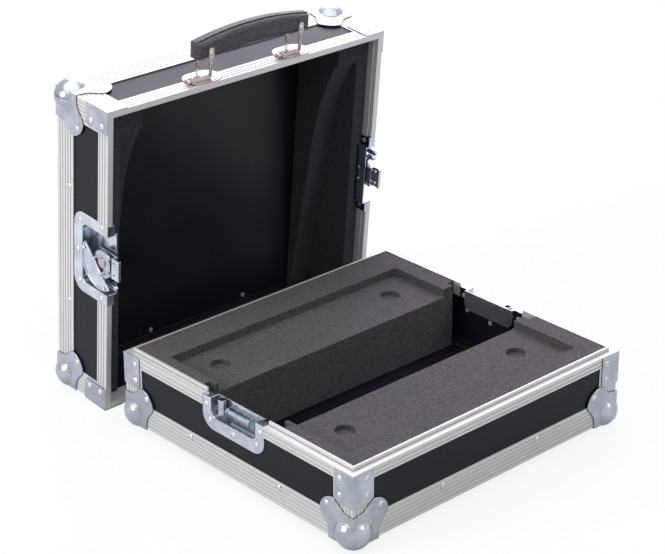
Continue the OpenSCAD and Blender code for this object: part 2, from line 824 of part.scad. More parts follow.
module at_post_rivets(k) {
  on_wall(k)
    for (side = [-1, 1])
      translate([side * post_rivet_x, foot_face, lid_h - rotor_q]) rotate([-90, 0, 0]) children();
}

module latch_post(k) {
  foot_t = bowl_depth - foot_face;
  on_wall(k)
    translate([0, 0, lid_h - rotor_q]) {
      along_in(rotor_depth - running_fit, bowl_depth - rotor_depth + running_fit, post_r);
      along_in(rotor_depth - running_fit - 1.4, 1.4, post_head_r);
      translate([-post_foot_half, foot_face, -post_foot_half + 2])
        cube([2 * post_foot_half, foot_t, 2 * post_foot_half - 4]);
    }
  at_post_rivets(k) {
    cylinder(h = bowl_back - foot_face, r = post_rivet_r);
    translate([0, 0, bowl_back - foot_face]) cylinder(h = rivet_tail_h, r = 2 * post_rivet_r);
  }
}

module latch_rotor(k) {
  ear_x = wing_knuckle_half + 0.3;
  ear_r = wing_pin_r + 0.8;
  at_rotor(k)
    difference() {
      union() {
        along_in(rotor_depth, rotor_t, rotor_r);
        translate([0, 0, -cam_offset]) along_in(rotor_back, cam_back - rotor_back, cam_r);
        for (side = [-1, 1])
          translate([side * (ear_x + ear_w / 2) - ear_w / 2, 0, -wing_fold]) {
            translate([0, wing_depth, 0]) rotate([0, 90, 0]) cylinder(h = ear_w, r = ear_r);
            translate([0, wing_depth, -ear_r]) cube([ear_w, rotor_back - wing_depth, 2 * ear_r]);
          }
      }
      along_in(-2 * over, bowl_depth + 2 * over, post_r + running_fit);
      translate([-rotor_r, wing_depth, -wing_fold]) rotate([0, 90, 0]) cylinder(h = 2 * rotor_r, r = wing_pin_r);
    }
}

module wing_pin(k) {
  half = wing_knuckle_half + 0.3 + ear_w;
  at_rotor(k) translate([-half, wing_depth, -wing_fold]) rotate([0, 90, 0]) cylinder(h = 2 * half, r = wing_pin_r);
}

module wing_outline(r) {
  edge_z = wing_fold - 1;
  intersection() {
    circle(r, $fn = 96);
    translate([-wing_r, -wing_r - over]) square([2 * wing_r, wing_r + over - edge_z]);
  }
}

module latch_wing(k) {
  ear_in = wing_knuckle_half;
  ear_out = wing_knuckle_half + ear_w + 0.9;
  notch = wing_pin_r + 1.2;
  at_rotor(k)
    difference() {
      union() {
        translate([0, wing_depth + wing_t / 2, 0]) rotate([90, 0, 0]) linear_extrude(wing_t) wing_outline(wing_r);
        translate([0, wing_depth, 0])
          rotate([90, 0, 0])
            linear_extrude(wing_border_h + wing_t / 2)
              difference() {
                wing_outline(wing_r);
                circle(wing_r - wing_border_w, $fn = 96);
              }
        translate([-ear_in, wing_depth, -wing_fold])
          rotate([0, 90, 0])
            cylinder(h = 2 * ear_in, r = wing_pin_r + 0.5);
      }
      for (side = [-1, 1])
        translate([side * (ear_in + ear_out) / 2 - (ear_out - ear_in) / 2, -wing_r, -wing_fold - notch])
          cube([ear_out - ear_in, 2 * wing_r, wing_fold]);
      translate([-ear_in - over, wing_depth, -wing_fold])
        rotate([0, 90, 0])
          cylinder(h = 2 * (ear_in + over), r = wing_pin_r + running_fit);
    }
}

module latch_hook(k) {
  window_q = rotor_q + cam_offset;
  window_half_x = cam_r + cam_offset + 0.25;
  window_half_q = cam_r + window_play;
  inner_end = window_q + window_half_q + 3.8;
  web_q = -3.4;
  on_wall(k)
    translate([0, -hook_rest * hook_swing, lid_h + hook_rest * hook_travel])
      difference() {
        union() {
          translate([-hook_half, hook_inner_depth, -inner_end])
            cube([2 * hook_half, hook_t, inner_end - web_q + hook_t]);
          translate([-hook_half, hook_depth, -web_q])
            cube([2 * hook_half, hook_inner_depth - hook_depth + hook_t, hook_t]);
          translate([-hook_half, hook_depth, -web_q])
            cube([2 * hook_half, hook_t, hook_reach + hook_t + web_q]);
          translate([-hook_half, hook_depth, hook_reach])
            cube([2 * hook_half, hook_lip_depth - hook_depth, hook_t]);
        }
        translate([-window_half_x, hook_inner_depth - over, -window_q - window_half_q])
          cube([2 * window_half_x, hook_t + 2 * over, 2 * window_half_q]);
        for (side = [-1, 1])
          translate([side * hook_half * 0.6, 0, -web_q + hook_t + 3]) along_in(0, hook_inner_depth - over, 1.6);
      }
}

// Handle

// Frame of the handle wall: x along it, y out of it, z towards the parting line, which is at 0
module at_handle_wall() translate([0, case_d / 2, lid_h]) children();

module at_plates() {
  for (side = [-1, 1]) translate([handle_shift + side * plate_pitch / 2, 0, 0]) children();
}

module plate_outline(len, width) {
  square([len - width, width], center = true);
  for (side = [-1, 1]) translate([side * (len - width) / 2, 0]) circle(width / 2);
}

module handle_plates() {
  border = 2.5;
  at_handle_wall()
    at_plates()
      difference() {
        union() {
          translate([0, plate_t, -plate_q])
            rotate([90, 0, 0]) linear_extrude(plate_t) plate_outline(plate_len, plate_w);
          translate([0, plate_t + plate_rise, -plate_q])
            rotate([90, 0, 0]) linear_extrude(plate_rise)
              plate_outline(plate_len - 2 * border, plate_w - 2 * border);
          translate([bail_x - 2 - barrel_len, barrel_out, -barrel_q])
            rotate([0, 90, 0]) cylinder(h = barrel_len, r = barrel_r);
          translate([bail_x - 2 - barrel_len, plate_t, -barrel_q - barrel_r])
            cube([barrel_len, barrel_r, 2 * barrel_r]);
        }
        translate([bail_x - 3 * barrel_len, barrel_out, -barrel_q])
          rotate([0, 90, 0]) cylinder(h = 4 * barrel_len, r = wire_r + wire_fit);
      }
}

module rod(a, b) {
  v = b - a;
  len = norm(v);
  translate(a) rotate([0, acos(v[2] / len), atan2(v[1], v[0])]) cylinder(h = len, r = wire_r);
}

// One bail: up the front of the grip, through the barrel, round behind it and up the back of the grip
module bail() {
  far_x = bail_x - barrel_len - 2 - wire_r - 1;
  corner_x = bail_x + 1;
  eye_foot = pin_out - eye_h / 2;
  path = [
    [bail_x, eye_foot + 1, -eye_front_q],
    [corner_x, barrel_out, -barrel_q],
    [far_x, barrel_out, -barrel_q],
    [far_x, barrel_out, -bail_run_q],
    [bail_x - 12, barrel_out, -bail_run_q],
    [bail_x, barrel_out, -eye_back_q],
    [bail_x, eye_foot + 1, -eye_back_q]
  ];
  for (i = [0 : len(path) - 2]) rod(path[i], path[i + 1]);
  for (i = [1 : len(path) - 2]) translate(path[i]) sphere(wire_r + bend_bulge);
  for (q = [eye_front_q, eye_back_q])
    translate([bail_x, pin_out, -q - eye_t / 2])
      linear_extrude(eye_t) {
        square([eye_w, eye_h - eye_w], center = true);
        for (side = [-1, 1]) translate([0, side * (eye_h - eye_w) / 2]) circle(eye_w / 2);
      }
}

module handle_bails() {
  at_handle_wall()
    at_plates()
      difference() {
        bail();
        translate([bail_x, pin_out, -2 * grip_q]) cylinder(h = 2 * grip_q, r = pin_r + shank_gap);
        translate([bail_x - eye_w, grip_under - over, eye_t / 2 - eye_back_q])
          cube([2 * eye_w, eye_h * 2, eye_back_q - eye_front_q - eye_t]);
      }
}

// Cross-section of the grip, standing on its outer radius
module grip_section(outer_r) {
  half = grip_w / 2;
  round_r = 6;
  shoulder = outer_r - ridge_h;
  difference() {
    union() {
      translate([shoulder - 34, -half + 2]) square([34 - round_r, grip_w - 4]);
      translate([shoulder - 18, -half]) square([18 - round_r, grip_w]);
      translate([shoulder - 20, round_r - half]) square([20, grip_w - 2 * round_r]);
      for (side = [-1, 1]) translate([shoulder - round_r, side * (half - round_r)]) circle(round_r);
      translate([shoulder - over, -ridge_w / 2]) square([ridge_h + over, ridge_w]);
    }
    for (side = [-1, 1]) translate([shoulder, side * (ridge_w / 2 + 1)]) circle(1);
  }
}

module handle_grip() {
  top_r = chord_r(grip_len, grip_rise);
  under_r = chord_r(grip_len, grip_under_rise);
  top_out = grip_under + grip_t + grip_rise;
  sweep = 2 * asin(grip_len / 2 / top_r);
  end_r = 8;
  at_handle_wall()
    translate([grip_x, 0, -grip_q])
      difference() {
        intersection() {
          translate([0, top_out - top_r, 0])
            rotate([0, 0, 90 - sweep / 2 - 1])
              rotate_extrude(angle = sweep + 2, $fn = 180)
                grip_section(top_r);
          translate([-grip_len / 2, 0, 0])
            rotate([90, 0, 0])
              translate([0, -grip_w / 2, -2 * top_out])
                linear_extrude(4 * top_out)
                  round_square([grip_len, grip_w], end_r);
        }
        translate([0, grip_under + grip_under_rise - under_r, -grip_w]) cylinder(h = 2 * grip_w, r = under_r, $fn = 180);
        for (side = [-1, 1])
          translate([side * plate_pitch / 2, pin_out, -grip_w]) cylinder(h = 2 * grip_w, r = pin_r + shank_gap);
      }
}

module handle_pins() {
  pin_len = eye_back_q - eye_front_q + eye_t;
  head_h = 1.4;
  at_handle_wall()
    at_plates()
      translate([bail_x, pin_out, -eye_back_q - eye_t / 2]) {
        cylinder(h = pin_len, r = pin_r);
        translate([0, 0, pin_len]) cylinder(h = head_h, r1 = 1.6 * pin_r, r2 = pin_r);
        translate([0, 0, -head_h]) cylinder(h = head_h, r1 = pin_r, r2 = 1.6 * pin_r);
      }
}

// Nodes

module base_panel_front() color("#2b2a2e") in_base() long_panel(FRONT, base_h, base_h - profile_t);
module base_panel_back() color("#2b2a2e") in_base() long_panel(BACK, base_h, base_h - profile_t);
module base_panel_left() color("#2b2a2e") in_base()
  side_panel(LEFT, base_h, base_h - profile_t, catch_bowl_h);
module base_panel_right() color("#2b2a2e") in_base()
  side_panel(RIGHT, base_h, base_h - profile_t, catch_bowl_h);
module base_panel_bottom() color("#2b2a2e") in_base() outer_panel();
module base_rim_front() color("#c9ccd2") in_base() base_rim(FRONT);
module base_rim_back() color("#c9ccd2") in_base() base_rim(BACK);
module base_rim_left() color("#c9ccd2") in_base() base_rim(LEFT);
module base_rim_right() color("#c9ccd2") in_base() base_rim(RIGHT);
module base_edge_front() color("#bfc3ca") in_base() edge(FRONT);
module base_edge_back() color("#bfc3ca") in_base() edge(BACK);
module base_edge_left() color("#bfc3ca") in_base() edge(LEFT);
module base_edge_right() color("#bfc3ca") in_base() edge(RIGHT);
module base_corner_angles() color("#c4c8ce") in_base() corner_angles(base_h, base_flange, base_flange);
module base_ball_corners() color("#d7dce4") in_base() ball_corners();
module base_corner_braces() color("#d0d6df") in_base() corner_braces(base_h);
module base_rivets() color("#e6e8ec") in_base() half_rivets(base_h, catch_bowl_h);
module base_foam_front() color("#55555a") in_base() tray_foam(-foam_y, channel_front);
module base_foam_back() color("#55555a") in_base() tray_foam(channel_back, foam_y);
module left_catch_dish() color("#cdd3dc") in_base() dish(LEFT, base_h, catch_dish_h, catch_bowl_h);
module right_catch_dish() color("#cdd3dc") in_base() dish(RIGHT, base_h, catch_dish_h, catch_bowl_h);
module left_keeper() color("#b9bec8") in_base() keeper(LEFT);
module right_keeper() color("#b9bec8") in_base() keeper(RIGHT);
module alignment_sleeves() color("#b9bec8") in_base() for (k = [RIGHT, LEFT]) alignment_sleeve(k);

module lid_panel_foot() color("#2b2a2e") in_lid() long_panel(FRONT, lid_h, lid_top);
module lid_panel_handle() color("#2b2a2e") in_lid() long_panel(BACK, lid_h, lid_top);
module lid_panel_left() color("#2b2a2e") in_lid() side_panel(LEFT, lid_h, lid_top, latch_bowl_h);
module lid_panel_right() color("#2b2a2e") in_lid() side_panel(RIGHT, lid_h, lid_top, latch_bowl_h);
module lid_panel_top() color("#2b2a2e") in_lid() outer_panel();
module lid_rim_foot() color("#c9ccd2") in_lid() lid_rim(FRONT);
module lid_rim_handle() color("#c9ccd2") in_lid() lid_rim(BACK);
module lid_rim_left() color("#c9ccd2") in_lid() lid_rim(LEFT);
module lid_rim_right() color("#c9ccd2") in_lid() lid_rim(RIGHT);
module lid_edge_foot() color("#bfc3ca") in_lid() edge(FRONT);
module lid_edge_handle() color("#bfc3ca") in_lid() edge(BACK);
module lid_edge_left() color("#bfc3ca") in_lid() edge(LEFT);
module lid_edge_right() color("#bfc3ca") in_lid() edge(RIGHT);
module lid_corner_angles() color("#c4c8ce") in_lid() corner_angles(lid_h, lid_flange_side, lid_flange_long);
module lid_ball_corners() color("#d7dce4") in_lid() ball_corners();
module lid_corner_braces() color("#d0d6df") in_lid() corner_braces(lid_h);
module lid_rivets() color("#e6e8ec") in_lid() half_rivets(lid_h, latch_bowl_h);
module lid_foam_left() color("#4b4b50") in_lid() lid_foam(-1);
module lid_foam_right() color("#4b4b50") in_lid() lid_foam(1);
module left_latch_dish() color("#cdd3dc") in_lid() latch_dish(LEFT);
module right_latch_dish() color("#cdd3dc") in_lid() latch_dish(RIGHT);
module left_latch_post() color("#d8d2bc") in_lid() latch_post(LEFT);
module right_latch_post() color("#d8d2bc") in_lid() latch_post(RIGHT);
module alignment_pegs() color("#b9bec8") in_lid() for (k = [RIGHT, LEFT]) alignment_peg(k);
module handle_plates_node() color("#d6d3cc") in_lid() handle_plates();
module handle_grip_node() color("#33333a") in_lid() handle_grip();
module handle_bails_node() color("#cfc9c0") in_lid() handle_bails();
module handle_pins_node() color("#cfc9c0") in_lid() handle_pins();
module left_latch_rotor() color("#b4bdc9") in_lid() latch_rotor(LEFT);
module right_latch_rotor() color("#b4bdc9") in_lid() latch_rotor(RIGHT);
module left_latch_wing() color("#c3ccd8") in_lid() latch_wing(LEFT);
module right_latch_wing() color("#c3ccd8") in_lid() latch_wing(RIGHT);
module left_wing_pin() color("#d8d2bc") in_lid() wing_pin(LEFT);
module right_wing_pin() color("#d8d2bc") in_lid() wing_pin(RIGHT);
module left_latch_hook() color("#aeb8c4") in_lid() latch_hook(LEFT);
module right_latch_hook() color("#aeb8c4") in_lid() latch_hook(RIGHT);

base_panel_front();
base_panel_back();
base_panel_left();
base_panel_right();
base_panel_bottom();
base_rim_front();
base_rim_back();
base_rim_left();
base_rim_right();
base_edge_front();
base_edge_back();
base_edge_left();
base_edge_right();
base_corner_angles();
base_ball_corners();
base_corner_braces();
base_rivets();
base_foam_front();
base_foam_back();
left_catch_dish();
right_catch_dish();
left_keeper();
right_keeper();
alignment_sleeves();
lid_panel_foot();
lid_panel_handle();
lid_panel_left();
lid_panel_right();
lid_panel_top();
lid_rim_foot();
lid_rim_handle();
lid_rim_left();
lid_rim_right();
lid_edge_foot();
lid_edge_handle();
lid_edge_left();
lid_edge_right();
lid_corner_angles();
lid_ball_corners();
lid_corner_braces();
lid_rivets();
lid_foam_left();
lid_foam_right();
left_latch_dish();
right_latch_dish();
left_latch_post();
right_latch_post();
alignment_pegs();
handle_plates_node();  // handle_plates
handle_grip_node();  // handle_grip
handle_bails_node();  // handle_bails
handle_pins_node();  // handle_pins
left_latch_rotor();
right_latch_rotor();
left_latch_wing();
right_latch_wing();
left_wing_pin();
right_wing_pin();
left_latch_hook();
right_latch_hook();
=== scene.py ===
import json
import math

import bmesh
import bpy
from mathutils import Matrix, Vector, noise


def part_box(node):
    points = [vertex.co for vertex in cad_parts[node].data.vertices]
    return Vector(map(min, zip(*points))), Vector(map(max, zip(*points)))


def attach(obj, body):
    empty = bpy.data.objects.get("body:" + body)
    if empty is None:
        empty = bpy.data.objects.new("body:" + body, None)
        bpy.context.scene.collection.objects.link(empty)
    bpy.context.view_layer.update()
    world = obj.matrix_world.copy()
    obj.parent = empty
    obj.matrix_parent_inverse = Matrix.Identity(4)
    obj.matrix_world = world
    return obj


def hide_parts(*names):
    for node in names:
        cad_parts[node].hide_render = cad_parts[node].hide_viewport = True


bl_info = {
    "name": "Flight case for a sampling pad",
    "version": (1, 0, 0),
    "blender": (4, 5, 0),
    "location": "View3D > Sidebar > Flight Case",
    "description": "Finishes, foam and studio around the packed flight case",
    "category": "Object",
}

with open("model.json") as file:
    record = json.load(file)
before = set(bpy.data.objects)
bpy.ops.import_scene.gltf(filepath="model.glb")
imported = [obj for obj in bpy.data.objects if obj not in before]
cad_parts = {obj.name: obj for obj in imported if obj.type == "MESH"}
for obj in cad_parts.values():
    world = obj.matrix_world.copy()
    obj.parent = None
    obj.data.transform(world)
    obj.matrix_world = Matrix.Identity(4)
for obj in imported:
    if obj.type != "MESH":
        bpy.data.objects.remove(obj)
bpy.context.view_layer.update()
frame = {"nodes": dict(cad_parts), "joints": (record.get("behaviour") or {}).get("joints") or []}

# The lid leans forward by this angle, which turns the grain of its metal and laminate
LID_LEAN = math.radians(5.189)
# The photograph's frame, in pixels, and the camera that was fitted to it
PHOTO_SIZE = (665, 554)
FOCAL_PIXELS = 2055.19
SENSOR_WIDTH = 36.0
CAMERA_TARGET = Vector((0.00106, -0.00128, 0.16734))
CAMERA_AZIMUTH = math.radians(-42.516)
CAMERA_ELEVATION = math.radians(25.082)
CAMERA_ROLL = math.radians(-0.10)
CAMERA_DISTANCE = 2.3959

# Share of metal in the skin of plain or anodised aluminium, and in plated steel
ALUMINIUM_METAL = 0.5
PLATED_METAL = 0.9
# Gloss of the laminate on the walls, and inside the top panel of the lid
WALL_GLOSS = 0.15
INNER_GLOSS = 0.27
# How deep under the outer faces the lacquer of the inner legs begins and is full, in metres
LACQUER_DEPTH = (0.0081, 0.0084)
LACQUER_COLOUR = (0.008, 0.008, 0.009, 1.0)

# Foam: points closer than this join, and a cutting plane takes points this near, in metres
WELD_DISTANCE = 2e-5
CUT_DISTANCE = 1e-6
# Faces that meet below the first angle become one, and edges above the second are rounded
FLAT_ANGLE = math.radians(1.0)
SHARP_ANGLE = math.radians(30)
# Small waves of a cut face, against its broad ones: how much closer, and how much lower
NIBBLE_SCALE = 7.0
NIBBLE_SHARE = 0.35
# Straight steps along the curve of a lid block, and how far a cutting solid reaches past it
CURVE_STEPS = 14
OVERSHOOT = 0.01

WHITE = (1.0, 1.0, 1.0, 1.0)
# Tone of the floor for the light that it sends back to the case
FLOOR_TONE = (0.45, 0.45, 0.46, 1.0)
# Share of plain white that the camera sees in the floor, over its lit tone
FLOOR_LIFT = 0.86
# Soft lamps: place and size in metres, the setting with the power, and the colour
LAMP_TARGET = (0.0, 0.0, 0.15)
LAMPS = {
    "lamp_top": ((-0.3, -0.2, 2.6), 4.4, "top_power", (1.0, 1.0, 1.0)),
    "lamp_left": ((-2.5, 0.7, 1.1), 1.1, "left_power", (1.0, 1.0, 1.0)),
    "lamp_right": ((1.2, -2.7, 1.7), 0.8, "right_power", (1.0, 1.0, 1.0)),
    "lamp_back": ((2.0, 2.1, 2.0), 2.6, "back_power", (0.90, 0.85, 1.0)),
}


# Node bench

class NodeBench:
    """Builds the nodes of one finish: add() makes a node and feeds its inputs."""

    def __init__(self, tree):
        self.tree = tree

    def add(self, kind, inputs=None, **settings):
        node = self.tree.nodes.new("ShaderNode" + kind)
        for key, value in settings.items():
            setattr(node, key, value)
        for key, value in (inputs or {}).items():
            self.feed(node.inputs[key], value)
        return node

    def feed(self, socket, value):
        if isinstance(value, bpy.types.NodeSocket):
            self.tree.links.new(value, socket)
        else:
            socket.default_value = value

    def place(self, lean=0.0, stretch=(1.0, 1.0, 1.0)):
        """Places in metres, turned back by the lean of the lid and then stretched."""
        where = self.add("TexCoord").outputs["Object"]
        if lean:
            where = self.add("Mapping", {"Vector": where, "Rotation": (-lean, 0.0, 0.0)}).outputs[0]
        return self.add("Mapping", {"Vector": where, "Scale": stretch}).outputs[0]

    def noise(self, where, scale, detail=2.0, roughness=0.5):
        """Soft pattern from 0 to 1, with this many waves for each metre of the place."""
        node = self.add("TexNoise", {"Vector": where, "Scale": scale, "Detail": detail,
                                     "Roughness": roughness})
        return node.outputs["Fac"]

    def cells(self, where, scale):
        """Distance from the middle of the nearest cell, with this many cells for each metre."""
        return self.add("TexVoronoi", {"Vector": where, "Scale": scale}).outputs["Distance"]

    def spread(self, value, low, high, to_low=0.0, to_high=1.0):
        """The value stretched from low..high to to_low..to_high and held inside them."""
        node = self.add("MapRange", {"Value": value, "From Min": low, "From Max": high,
                                     "To Min": to_low, "To Max": to_high}, clamp=True)
        return node.outputs["Result"]

    def blend(self, factor, first, second):
        node = self.add("Mix", {0: factor, 6: first, 7: second}, data_type="RGBA")
        return node.outputs[2]

    def lay(self, tone, mask, share, over):
        """The tone with a share of another colour laid over it where the mask is 1."""
        return self.blend(self.maths("MULTIPLY", mask, share), tone, over)

    def maths(self, operation, first, second=0.0):
        return self.add("Math", {0: first, 1: second}, operation=operation).outputs[0]

    def bump(self, height, strength, distance, normal=None):
        inputs = {"Height": height, "Strength": strength, "Distance": distance}
        if normal is not None:
            inputs["Normal"] = normal
        return self.add("Bump", inputs).outputs[0]

    def rounded_edge(self, radius, low=0.02, high=0.25):
        """Normal of an edge rounded by this radius, and a mask that is 1 on such edges."""
        rounded = self.add("Bevel", {"Radius": radius}, samples=6).outputs[0]
        plain = self.add("NewGeometry").outputs["Normal"]
        even = self.add("VectorMath", {0: rounded, 1: plain}, operation="DOT_PRODUCT")
        return rounded, self.spread(self.maths("SUBTRACT", 1.0, even.outputs["Value"]), low, high)

    def hollow(self, reach, low, high):
        """Mask for painted shade: 1 in narrow grooves and corners, from how much of the sky they
        see.
        """
        sky = self.add("AmbientOcclusion", {"Distance": reach}, samples=6)
        return self.spread(sky.outputs["AO"], low, high, 1.0, 0.0)


def new_finish(name):
    finish = bpy.data.materials.new(name)
    finish.use_nodes = True
    bench = NodeBench(finish.node_tree)
    shader = finish.node_tree.nodes["Principled BSDF"]
    return finish, bench, shader


def tinted(colour, gain):
    """The colour made lighter or darker by this factor, with full cover."""
    return tuple(min(1.0, c * gain) for c in colour[:3]) + (1.0,)


# Finishes

def laminate_finish(name, colour, gloss, lean):
    """Phenolic laminate on plywood: near black, fine-textured, lightly scuffed."""
    finish, bench, shader = new_finish(name)
    where = bench.place(lean)
    cloud = bench.noise(where, 14.0, 3.0)
    grain = bench.noise(where, 1500.0, 2.0)
    dust = bench.spread(bench.noise(where, 900.0, 1.0), 0.72, 0.82)
    scuff = bench.spread(bench.noise(bench.place(lean, (9.0, 220.0, 60.0)), 1.0, 3.0), 0.66, 0.74)
    tone = bench.blend(bench.spread(cloud, 0.3, 0.7), tinted(colour, 0.8), tinted(colour, 1.25))
    tone = bench.lay(tone, dust, 0.35, tinted(colour, 5.0))
    tone = bench.lay(tone, scuff, 0.18, tinted(colour, 4.0))
    bench.feed(shader.inputs["Base Color"], tone)
    rough = bench.spread(cloud, 0.25, 0.75, 0.34, 0.42)
    rough = bench.maths("ADD", rough, bench.maths("MULTIPLY", scuff, 0.10))
    bench.feed(shader.inputs["Roughness"], rough)
    relief = bench.bump(grain, 0.12, 0.0002)
    relief = bench.bump(bench.noise(where, 55.0, 2.0), 0.05, 0.002, relief)
    bench.feed(shader.inputs["Normal"], relief)
    shader.inputs["Specular IOR Level"].default_value = gloss
    return finish


def aluminium_finish(name, colour, run, lean):
    """Satin anodised profile with drawn lines along its run and slight handling marks, and painted
    shade in its grooves and corners.
    """
    finish, bench, shader = new_finish(name)
    drawn = tuple(3.0 if axis == run else 1100.0 for axis in "xyz")
    soft = tuple(1.2 if axis == run else 160.0 for axis in "xyz")
    where = bench.place(lean)
    lines = bench.noise(bench.place(lean, drawn), 1.0, 3.0)
    bands = bench.noise(bench.place(lean, soft), 1.0, 2.0)
    smudge = bench.noise(where, 22.0, 4.0, 0.6)
    worn = bench.noise(bench.place(lean, (70.0, 90.0, 80.0)), 1.0, 5.0, 0.75)
    marks = bench.spread(worn, 0.66, 0.72)
    rounded, edge = bench.rounded_edge(0.0005)
    tone = bench.blend(bench.spread(bands, 0.3, 0.7), tinted(colour, 0.97), tinted(colour, 1.03))
    tone = bench.blend(bench.spread(smudge, 0.45, 0.8, 0.0, 0.4), tone, tinted(colour, 0.90))
    tone = bench.lay(tone, marks, 0.2, tinted(colour, 0.72))
    tone = bench.lay(tone, edge, 0.5, tinted(colour, 1.2))
    # Painted shade: the tone is darkened in grooves and corners that see little sky
    tone = bench.lay(tone, bench.hollow(0.0016, 0.66, 0.93), 0.8, tinted(colour, 0.3))
    bench.feed(shader.inputs["Base Color"], tone)
    rough = bench.spread(lines, 0.25, 0.75, 0.42, 0.52)
    rough = bench.maths("ADD", rough, bench.spread(smudge, 0.4, 0.8, 0.0, 0.06))
    bench.feed(shader.inputs["Roughness"], rough)
    relief = bench.bump(lines, 0.16, 0.0002, rounded)
    relief = bench.bump(bench.noise(where, 30.0, 2.0), 0.04, 0.002, relief)
    bench.feed(shader.inputs["Normal"], relief)
    shader.inputs["Metallic"].default_value = ALUMINIUM_METAL
    return finish


def lacquer_inside(finish, half, lean):
    """Black lacquer where a profile lies inside the walls of its half."""
    bench = NodeBench(finish.node_tree)
    turn = Matrix.Rotation(lean, 4, "X").inverted()
    spots = [turn @ v.co for n in half_nodes(half, "edge") for v in frame["nodes"][n].data.vertices]
    outer = [(min(v[i] for v in spots), max(v[i] for v in spots)) for i in range(3)]
    # Neither half has a wall on its open side: the tray's is above, the lid's faces the tray
    if half == "lid":
        outer[1] = outer[1][1:]
    else:
        outer[2] = outer[2][:1]
    where = bench.add("SeparateXYZ", {"Vector": bench.place(lean)})
    inside = 1.0
    for axis, walls in enumerate(outer):
        for wall in walls:
            gap = bench.maths("ABSOLUTE", bench.maths("SUBTRACT", where.outputs[axis], wall))
            inside = bench.maths("MULTIPLY", bench.spread(gap, *LACQUER_DEPTH), inside)
    shader = finish.node_tree.nodes["Principled BSDF"]
    bright = shader.inputs["Base Color"].links[0].from_socket
    bench.feed(shader.inputs["Base Color"], bench.blend(inside, bright, LACQUER_COLOUR))
    bare = bench.maths("SUBTRACT", 1.0, inside)
    bench.feed(shader.inputs["Metallic"], bench.maths("MULTIPLY", bare, ALUMINIUM_METAL))


def zinc_finish(name, colour, lean):
    """Bright zinc plate on pressed steel: bluish, a little cloudy, worn on its edges, with painted
    shade in its corners and around the rivets.
    """
    finish, bench, shader = new_finish(name)
    where = bench.place(lean)
    cloud = bench.noise(where, 48.0, 4.0, 0.6)
    tint = bench.noise(bench.place(lean, (31.0, 27.0, 35.0)), 1.0, 2.0)
    grain = bench.noise(where, 700.0, 3.0)
    lines = bench.noise(bench.place(lean, (60.0, 260.0, 900.0)), 1.0, 2.0)
    scratch = bench.spread(lines, 0.68, 0.74)
    rounded, edge = bench.rounded_edge(0.0011)
    tone = bench.blend(bench.spread(cloud, 0.36, 0.64), tinted(colour, 0.84), tinted(colour, 1.16))
    warm = (min(1.0, colour[0] * 1.12), colour[1] * 1.03, colour[2] * 0.92, 1.0)
    tone = bench.blend(bench.spread(tint, 0.5, 0.75, 0.0, 0.6), tone, warm)
    tone = bench.lay(tone, scratch, 0.25, tinted(colour, 1.2))
    tone = bench.lay(tone, edge, 0.55, tinted(colour, 1.35))
    # Painted shade: the tone is darkened in corners, around the rivets and where parts touch, from
    # how little sky they see
    tone = bench.lay(tone, bench.hollow(0.006, 0.35, 0.95), 0.8, tinted(colour, 0.3))
    bench.feed(shader.inputs["Base Color"], tone)
    bench.feed(shader.inputs["Roughness"], bench.spread(cloud, 0.25, 0.75, 0.15, 0.26))
    relief = bench.bump(grain, 0.10, 0.0002, rounded)
    relief = bench.bump(bench.noise(where, 75.0, 2.0), 0.16, 0.002, relief)
    bench.feed(shader.inputs["Normal"], relief)
    shader.inputs["Metallic"].default_value = PLATED_METAL
    return finish


def bright_finish(name, colour, low_rough, high_rough, metallic=1.0):
    """Small bright metal parts: plated or plain, polished by handling."""
    finish, bench, shader = new_finish(name)
    where = bench.place()
    cloud = bench.noise(where, 130.0, 3.0)
    rounded, edge = bench.rounded_edge(0.0005)
    tone = bench.blend(bench.spread(cloud, 0.3, 0.7), tinted(colour, 0.86), tinted(colour, 1.06))
    tone = bench.lay(tone, edge, 0.4, tinted(colour, 1.25))
    bench.feed(shader.inputs["Base Color"], tone)
    bench.feed(shader.inputs["Roughness"], bench.spread(cloud, 0.25, 0.75, low_rough, high_rough))
    relief = bench.bump(bench.noise(where, 900.0, 2.0), 0.10, 0.0002, rounded)
    bench.feed(shader.inputs["Normal"], relief)
    shader.inputs["Metallic"].default_value = metallic
    return finish


def grip_finish(name, colour):
    """Moulded grip with a fine pebbled skin, polished where the hand holds it, with painted shade
    in its creases.
    """
    finish, bench, shader = new_finish(name)
    where = bench.place()
    cloud = bench.noise(where, 35.0, 3.0)
    pebble = bench.cells(where, 620.0)
    crease = bench.noise(bench.place(0.0, (160.0, 520.0, 420.0)), 1.0, 3.0, 0.6)
    rounded, edge = bench.rounded_edge(0.0012)
    tone = bench.blend(bench.spread(cloud, 0.3, 0.7), tinted(colour, 0.8), tinted(colour, 1.3))
    # Painted shade: the tone is darkened to a quarter in the low parts of the crease relief
    tone = bench.blend(bench.spread(crease, 0.38, 0.60), tinted(colour, 0.25), tone)
    tone = bench.lay(tone, edge, 0.35, tinted(colour, 2.6))
    bench.feed(shader.inputs["Base Color"], tone)
    bench.feed(shader.inputs["Roughness"], bench.spread(cloud, 0.25, 0.75, 0.38, 0.55))
    relief = bench.bump(pebble, 0.3, 0.0004, rounded)
    bench.feed(shader.inputs["Normal"], bench.bump(crease, 0.5, 0.0008, relief))
    return finish


